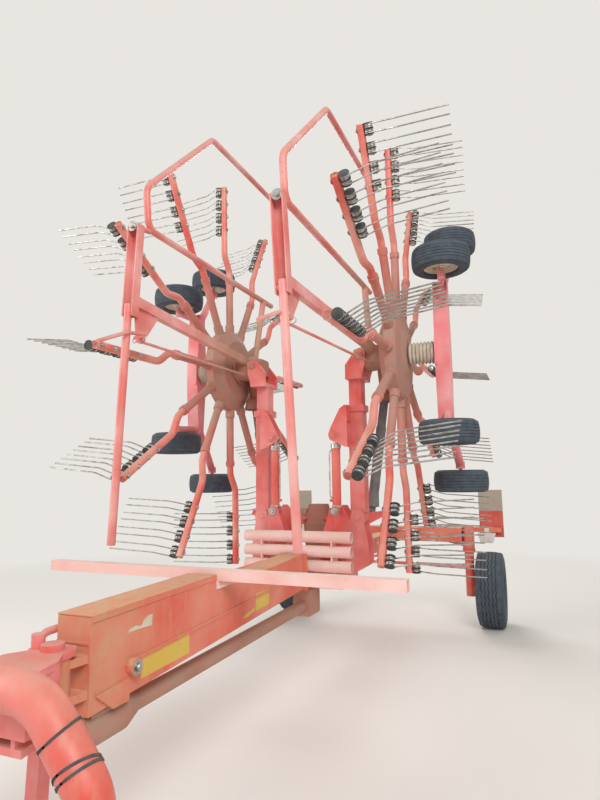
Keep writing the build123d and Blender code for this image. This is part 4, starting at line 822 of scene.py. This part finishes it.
tyre_profile = ribbed_profile(
    SMALL_R, SMALL_HALF, SMALL_RIM_R - 2 * MM, SMALL_RIBS, SMALL_GROOVE, SMALL_SHOULDER
)
small_tyre = turned_part(tyre_profile, 48, closed=True)
small_rim = turned_part(small_rim_profile(), 40, closed=True)
rim_bolt = hex_bolt(RIM_BOLT)
hub_cap = turned_part(in_metres(HUB_CAP_PROFILE), 20)
fasteners = [copied(hub_cap, aimed((0, 0, way * HUB_FACE), (0, 0, way))) for way in (-1, 1)]
HALF_TURN = Matrix.Rotation(math.pi, 4, "X")
for index in range(4):
    angle = math.radians(45 + 90 * index)
    spot = (SMALL_BOLT_CIRCLE * math.cos(angle), SMALL_BOLT_CIRCLE * math.sin(angle))
    fasteners.append(copied(rim_bolt, Matrix.Translation((*spot, DISC_FACE))))
    fasteners.append(copied(rim_bolt, Matrix.Translation((*spot, -DISC_FACE)) @ HALF_TURN))
dropped(rim_bolt)
dropped(hub_cap)
rim_fasteners = joined(fasteners)
for place in ("front_upper", "front_lower", "rear_upper", "rear_lower"):
    for name, side in SIDES:
        node = f"small_wheel_{place}_{name}"
        low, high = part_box(node)
        move = Matrix.Translation((low + high) / 2)
        wheel = f"{place}_{name}"
        tyre = copied(small_tyre, move)
        finished(tyre, f"small_tyre_{wheel}", node, tyre_rubber)
        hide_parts(node)
        finished(copied(small_rim, move), f"small_rim_{wheel}", node, rim_paint)
        rim_bolts = copied(rim_fasteners, move)
        finished(rim_bolts, f"small_rim_bolts_{wheel}", node, zinc_steel)
for pattern in (small_tyre, small_rim, rim_fasteners):
    dropped(pattern)
print("small wheels ready")

# %% [markdown]
# The two transport wheels carry wide implement tyres with a ribbed tread. The rim is right in
# the CAD model and only gets paint and wheel nuts; the tyre is turned afresh for its ribs.
# Every second step round the tread is shifted sideways, so the grooves run in a zigzag.

# %% Transport tyres and wheel nuts
TYRE_R = 385 * MM
TYRE_HALF = 140 * MM
RIM_R = 197 * MM
TYRE_RIBS = 6
TYRE_GROOVE = 11 * MM
TYRE_SHOULDER = 60 * MM
NUT_COUNT = 6
TREAD_STEPS = 64
ZIGZAG = 6 * MM
ZIGZAG_DEPTH = 18 * MM
NUT_CIRCLE = 88 * MM
NUT_OUTER = 32 * MM
NUT_INNER = 14.5 * MM
WHEEL_NUT = (24 * MM, 18 * MM)

tyre_profile = ribbed_profile(
    TYRE_R, TYRE_HALF, RIM_R + 4 * MM, TYRE_RIBS, TYRE_GROOVE, TYRE_SHOULDER
)
big_tyre = turned_part(tyre_profile, TREAD_STEPS, closed=True)
for vertex in big_tyre.data.vertices:
    radius = math.hypot(vertex.co.x, vertex.co.y)
    step = round(math.atan2(vertex.co.y, vertex.co.x) / (2 * math.pi / TREAD_STEPS))
    if radius > TYRE_R - ZIGZAG_DEPTH:
        vertex.co.z += ZIGZAG if step % 2 else -ZIGZAG
nut = hex_bolt(WHEEL_NUT)
nuts = []
for index in range(NUT_COUNT):
    angle = 2 * math.pi * index / NUT_COUNT
    spot = (NUT_CIRCLE * math.cos(angle), NUT_CIRCLE * math.sin(angle))
    nuts.append(copied(nut, Matrix.Translation((*spot, NUT_OUTER))))
    nuts.append(copied(nut, Matrix.Translation((*spot, NUT_INNER)) @ HALF_TURN))
dropped(nut)
wheel_nuts = joined(nuts)
QUARTER_TURN = Matrix.Rotation(math.radians(90), 4, "Y")
for name, side in SIDES:
    low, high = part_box(f"transport_tyre_{name}")
    middle = (low + high) / 2
    wheel = f"transport_wheel_{name}"
    tyre = copied(big_tyre, Matrix.Translation(middle) @ QUARTER_TURN)
    finished(tyre, f"ribbed_tyre_{name}", wheel, tyre_rubber)
    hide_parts(f"transport_tyre_{name}")
    place = on_side(side, Matrix.Translation((side * middle.x, middle.y, middle.z)))
    nut_ring = copied(wheel_nuts, place @ QUARTER_TURN)
    finished(nut_ring, f"wheel_nuts_{name}", wheel, zinc_steel)
dropped(big_tyre)
dropped(wheel_nuts)
print("transport tyres ready")

# %% [markdown]
# Small parts on the frame: two blank yellow labels and the torn rest of a third on the beam's
# right face, a scuff down to the primer, nuts on the beam's bosses and three cable ties on the
# arch. A label is a circle of a few corners, moved to its outline and given a little thickness.
# Outlines are written as pairs: along from the rotor axis, and up, in millimetres.

# %% Labels, scuff, nuts and ties on the frame
BEAM_FACE = 80 * MM
LABEL_1 = ((-2137, 776), (-1788, 781), (-1788, 874), (-2137, 866))
LABEL_2 = ((-1104, 820), (-930, 828), (-930, 915), (-1104, 918))
LABEL_REST = ((-1268, 818), (-1205, 812), (-1150, 822), (-1118, 826))
LABEL_REST += ((-1120, 848), (-1163, 838), (-1215, 834))
SCUFF = ((-2225, 976), (-2213, 990), (-2176, 993), (-2144, 983), (-2126, 1003))
SCUFF += ((-2100, 1015), (-2070, 1016), (-2073, 970), (-2150, 975))
FILM = 0.8 * MM
FILM_SUNK = 0.2 * MM
FRAME_NUT = (30 * MM, 14 * MM)
BOSS_END = (108 * MM, ROTOR_Y - 2.195, 0.842)
BOSS_NUT_TURN = 0.3
CLAMP_NUTS_X = (-34, 34)
CLAMP_NUT_Y = ROTOR_Y - 1.465
CLAMP_NUT_Z = 1.078
TIE_IN = 64.6 * MM
TIE_OUT = 69 * MM
TIE_HALF = 4 * MM
ARCH_LEG_LOW = Vector((0.430, ROTOR_Y - 2.79, 0.710))
ARCH_LEG_HIGH = Vector((0.220, ROTOR_Y - 2.79, 0.950))
TIE_PLACES = ((0.22, 0.10), (0.27, 0.22), (0.60, -0.12))


def flat_film(outline, x, thick):
    """A thin film on a face across X, from its corners (along, up) in millimetres."""
    clear_selection()
    bpy.ops.mesh.primitive_circle_add(vertices=len(outline), radius=1, fill_type="NGON")
    film = bpy.context.object
    for corner, (along, up) in zip(film.data.vertices, outline):
        corner.co = (x, ROTOR_Y + along * MM, up * MM)
    edit(film)
    bpy.ops.mesh.extrude_region_move(TRANSFORM_OT_translate={"value": (thick, 0, 0)})
    bpy.ops.mesh.select_all(action="SELECT")
    bpy.ops.mesh.normals_make_consistent(inside=False)
    bpy.ops.object.mode_set(mode="OBJECT")
    return film


for name, outline, finish in (
    ("label_long", LABEL_1, label_yellow),
    ("label_short", LABEL_2, label_yellow),
    ("label_rest", LABEL_REST, label_yellow),
    ("primer_scuff", SCUFF, rim_paint),
):
    film = flat_film(outline, BEAM_FACE - FILM_SUNK, FILM)
    finished(film, name, "frame", finish)

nut = hex_bolt(FRAME_NUT)
beam_nuts = []
for side in (1, -1):
    beam_nuts.append(copied(nut, on_side(side, aimed(BOSS_END, (1, 0, 0), BOSS_NUT_TURN))))
for x in CLAMP_NUTS_X:
    beam_nuts.append(copied(nut, aimed((x * MM, CLAMP_NUT_Y, CLAMP_NUT_Z), (0, -1, 0))))
dropped(nut)
finished(joined(beam_nuts), "beam_nuts", "frame", zinc_steel)

tie = turned_part(band(TIE_IN, TIE_OUT, -TIE_HALF, TIE_HALF), 40, closed=True)
leg_way = (ARCH_LEG_HIGH - ARCH_LEG_LOW).normalized()
ties = []
for share, lean in TIE_PLACES:
    direction = (leg_way + Vector((0, lean, 0))).normalized()
    ties.append(copied(tie, aimed(ARCH_LEG_LOW.lerp(ARCH_LEG_HIGH, share), direction)))
dropped(tie)
arch_ties = joined(ties)
# No tie stands out past the arch, which is the foremost part of the machine.
for corner in arch_ties.data.vertices:
    corner.co.y = max(corner.co.y, cad_low.y)
finished(arch_ties, "arch_ties", "headstock", clamp_rubber)
print("frame details ready")

# %% [markdown]
# The beam's top is a folded lid that stands a little off the box at its rear end, so a dark
# gap shows under it. The hinge pins of the folding arms have flat nuts on their front ends,
# and the pins of their cylinders have nuts on washers.

# %% Lid of the beam and hinge nuts
LID_THICK = 7 * MM
LID_HALF_LENGTH = 0.44
LID_LEFT = -84 * MM
LID_RIGHT = 85 * MM
LID_FOLD_IN = 80.5 * MM
LID_FOLD = 20 * MM
LID_MIDDLE = (0, ROTOR_Y - 1.99, 1.0835)
LID_LIFT = math.radians(0.6)
HINGE_NUT = (46 * MM, 3 * MM)
HINGE_PIN = (0.391, ROTOR_Y - 0.078, 1.287)
CYL_X = 250 * MM
CYL_FOOT_Z = 1.330
CYL_TOP_PIN = (CYL_X, ROTOR_Y - 0.180, 1.890)
CYL_FOOT_PIN = (CYL_X, ROTOR_Y - 0.178, CYL_FOOT_Z)

lid_low = (LID_LEFT, -LID_HALF_LENGTH, 0)
lid = bevelled_box(lid_low, (LID_RIGHT, LID_HALF_LENGTH, LID_THICK), 2 * MM)
fold_low = (LID_FOLD_IN, -LID_HALF_LENGTH, -LID_FOLD)
fold = bevelled_box(fold_low, (LID_RIGHT, LID_HALF_LENGTH, 0), 1 * MM, 1)
lid = joined([lid, fold])
lid.data.transform(Matrix.Translation(LID_MIDDLE) @ Matrix.Rotation(LID_LIFT, 4, "X"))
finished(lid, "beam_lid", "frame", beam_enamel)

hinge_nut = hex_bolt(HINGE_NUT, washer=False)
small_nut = hex_bolt(FRAME_NUT)
for name, side in SIDES:
    hinge = copied(hinge_nut, on_side(side, aimed(HINGE_PIN, (0, -1, 0))))
    top = copied(small_nut, on_side(side, aimed(CYL_TOP_PIN, (0, -1, 0))))
    pair = joined([hinge, top])
    finished(pair, f"hinge_nuts_{name}", f"lift_arm_{name}", red_enamel)
    foot = copied(small_nut, on_side(side, aimed(CYL_FOOT_PIN, (0, -1, 0))))
    finished(foot, f"cylinder_nut_{name}", f"lift_barrel_{name}", zinc_steel)
dropped(hinge_nut)
dropped(small_nut)

# %% [markdown]
# Each light board has a red reflecting film on its lower part and a lamp with two lenses.

# %% Films and lenses of the light boards
BOARD_INNER = 1010 * MM
BOARD_OUTER = 1262 * MM
BOARD_MARGIN = 2 * MM
BOARD_FILM_LOW = 0.907
BOARD_FILM_HIGH = 1.190
LENSES_X = (1080, 1190)
LENS_Z = 0.985
LENS_PROFILE = ((0, 8), (0, 38), (8, 36), (12, 26), (13, 8))

lens = turned_part(in_metres(LENS_PROFILE), 28)
low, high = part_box("light_boards")
front = low.y - FILM_SUNK
film_low = (BOARD_INNER + BOARD_MARGIN, front - FILM, BOARD_FILM_LOW)
film_high = (BOARD_OUTER - BOARD_MARGIN, front + FILM, BOARD_FILM_HIGH)
for name, side in SIDES:
    film = bevelled_box(film_low, film_high, 0.3 * MM, 1)
    film.data.transform(on_side(side))
    if side == -1:
        film.data.flip_normals()
    finished(film, f"board_film_{name}", "frame", reflector_red)
    lenses = []
    for x in LENSES_X:
        spot = (x * MM, high.y - 1 * MM, LENS_Z)
        lenses.append(copied(lens, on_side(side, aimed(spot, (0, 1, 0)))))
    finished(joined(lenses), f"rear_lenses_{name}", "frame", reflector_red)
dropped(lens)
print("light boards ready")

# %% [markdown]
# Each guard hangs on a bolt at the top of its channel, and its latch pin is held by a ring that
# a finger can pull.

# %% Guard bolts and latch rings
RING_R = 19 * MM
RING_WIRE_R = 3 * MM
RING_TURN = math.radians(20)
CHANNEL_NUT = (34 * MM, 16 * MM)
CHANNEL_BOLT = (0.462, ROTOR_Y - 1.613, 3.043)
LATCHES_X = (0.438, 0.502)
LATCH_Y = ROTOR_Y - 1.516
LATCH_Z = 2.399
LATCH_PIN_R = 8 * MM

channel_nut = hex_bolt(CHANNEL_NUT)
clear_selection()
bpy.ops.mesh.primitive_torus_add(
    major_radius=RING_R,
    minor_radius=RING_WIRE_R,
    major_segments=24,
    minor_segments=8,
    rotation=(math.radians(90), 0, 0),
)
ring = settle(bpy.context.object)
for name, side in SIDES:
    fasteners = [copied(channel_nut, on_side(side, aimed(CHANNEL_BOLT, (0, -1, 0))))]
    for x in LATCHES_X:
        place = Matrix.Translation((x, LATCH_Y, LATCH_Z - RING_R + LATCH_PIN_R))
        turn = Matrix.Rotation(RING_TURN, 4, "Z")
        fasteners.append(copied(ring, on_side(side, place @ turn)))
    finished(joined(fasteners), f"guard_fasteners_{name}", f"carriage_{name}", zinc_steel)
dropped(channel_nut)
dropped(ring)

# %% [markdown]
# The fold cylinders have bright collars at both ends of the barrel and a rigid pipe along the
# barrel. Both drive shaft guards have fine ribs near their ends.

# %% Cylinder collars and pipes, ribs of the drive shaft guards
CYL_Y = ROTOR_Y - 117 * MM
CYL_R = 33 * MM
COLLARS_Z = (0.028, 0.462, 0.479)
COLLAR_LENGTH = 16 * MM
COLLAR_IN = CYL_R - 1 * MM
COLLAR_OUT = CYL_R + 5 * MM
PIPE_R = 5 * MM
PIPE_PATH = ((-30, 0, 96), (-46, -14, 104), (-47, -16, 130))
PIPE_PATH += ((-47, -16, 400), (-44, -14, 440), (-34, -10, 452))

collar = turned_part(band(COLLAR_IN, COLLAR_OUT, 0, COLLAR_LENGTH), 36, closed=True)
pipe = swept_tube(in_metres(PIPE_PATH), PIPE_R, sides=10)
foot = Matrix.Translation((CYL_X, CYL_Y, CYL_FOOT_Z))
for name, side in SIDES:
    barrel = f"lift_barrel_{name}"
    places = [foot @ Matrix.Translation((0, 0, z)) for z in COLLARS_Z]
    collars = joined([copied(collar, on_side(side, place)) for place in places])
    finished(collars, f"cylinder_collars_{name}", barrel, zinc_steel)
    barrel_pipe = copied(pipe, on_side(side, foot))
    finished(barrel_pipe, f"cylinder_pipe_{name}", barrel, zinc_steel)
dropped(collar)
dropped(pipe)

SHAFT_FOOT = Vector((0.430, ROTOR_Y + 0.170, 1.287))
SHAFT_HEAD = Vector((0.570, ROTOR_Y + 0.170, 2.230))
SHAFT_OUTER_R = 38 * MM
RIB_LENGTH = 5 * MM
RIB_IN = SHAFT_OUTER_R - 1 * MM
RIB_OUT = SHAFT_OUTER_R + 3 * MM
RIB_SHARES = (0.205, 0.225, 0.245, 0.265, 0.68, 0.70)

rib = turned_part(band(RIB_IN, RIB_OUT, 0, RIB_LENGTH), 36, closed=True)
shaft_way = SHAFT_HEAD - SHAFT_FOOT
for name, side in SIDES:
    ribs = []
    for share in RIB_SHARES:
        place = SHAFT_FOOT.lerp(SHAFT_HEAD, share)
        ribs.append(copied(rib, on_side(side, aimed(place, shaft_way))))
    shaft = f"drive_shaft_outer_{name}"
    finished(joined(ribs), f"shaft_ribs_{name}", shaft, guard_plastic)
dropped(rib)
print("cylinders and shafts ready")

# %% [markdown]
# The stage is a plain pale floor that takes the machine's shadow, and a pale world. Towards
# the horizon the floor fades to its bare colour, so that floor and world meet without a line.
# What the camera, a reflection or a look through glass sees of the world is its colour alone;
# the light on the machine comes from three large soft lamps and a weak world.

# %% Floor, world and lamps
FLOOR_COLOUR = "#e9e6e1"
FLOOR_SIZE = 60
WORLD_LIGHT = 0.55
FLOOR_NEAR = 3.6
FLOOR_FAR = 9.0


def seen_directly(tree):
    """1 for rays from the camera, from a mirror or through glass, and 0 for the rest."""
    path = add_node(tree, "ShaderNodeLightPath")
    both = add_up(tree, path.outputs["Is Camera Ray"], path.outputs["Is Glossy Ray"])
    return add_up(tree, both, path.outputs["Is Transmission Ray"])


def add_world():
    """Pale backdrop to the eye, weak even light to the machine."""
    world = bpy.data.worlds.new("studio")
    world.use_nodes = True
    tree = world.node_tree
    tree.nodes.clear()
    pale = linear(FLOOR_COLOUR)
    strength = ramp(tree, seen_directly(tree), 0, 1, WORLD_LIGHT, 1.0)
    back = add_node(tree, "ShaderNodeBackground", {"Color": pale, "Strength": strength})
    output = add_node(tree, "ShaderNodeOutputWorld")
    tree.links.new(back.outputs["Background"], output.inputs["Surface"])
    bpy.context.scene.world = world


def add_floor():
    """A wide floor under the wheels."""
    bpy.ops.object.select_all(action="DESELECT")
    bpy.ops.mesh.primitive_plane_add(size=FLOOR_SIZE, location=(0, 0, 0))
    floor = bpy.context.object
    floor.name = "floor"
    material, tree, surface = new_material("matt_floor", Roughness=0.9)
    surface.inputs["Base Color"].default_value = linear(FLOOR_COLOUR)
    place = add_node(tree, "ShaderNodeTexCoord")
    links = {0: place.outputs["Object"]}
    reach = add_node(tree, "ShaderNodeVectorMath", links, operation="LENGTH")
    fade = ramp(tree, reach.outputs["Value"], FLOOR_NEAR, FLOOR_FAR)
    far = multiply(tree, fade, seen_directly(tree))
    glow = add_node(tree, "ShaderNodeEmission", {"Color": linear(FLOOR_COLOUR), "Strength": 1.0})
    links = {0: far, 1: surface.outputs["BSDF"], 2: glow.outputs["Emission"]}
    blend = add_node(tree, "ShaderNodeMixShader", links)
    output = next(node for node in tree.nodes if node.type == "OUTPUT_MATERIAL")
    tree.links.new(blend.outputs["Shader"], output.inputs["Surface"])
    floor.data.materials.append(material)


def add_lamp(name, place, target, size, power):
    """A large soft lamp that looks at a point."""
    data = bpy.data.lights.new(name, "AREA")
    data.size = size
    data.energy = power
    lamp = bpy.data.objects.new(name, data)
    bpy.context.scene.collection.objects.link(lamp)
    lamp.location = place
    lamp.rotation_euler = (Vector(target) - Vector(place)).to_track_quat("-Z", "Y").to_euler()


add_world()
add_floor()
# Name, place, the point it looks at, width in metres and power in watts.
add_lamp("key", (4.5, -6.5, 6.5), (0, 0, 1.6), 4.0, 470)
add_lamp("fill", (-6.5, -4.5, 4.0), (0, 0, 1.6), 5.0, 260)
add_lamp("rim", (-2.0, 7.0, 6.5), (0, 0, 2.0), 4.0, 300)
bpy.context.scene.view_settings.view_transform = "Standard"
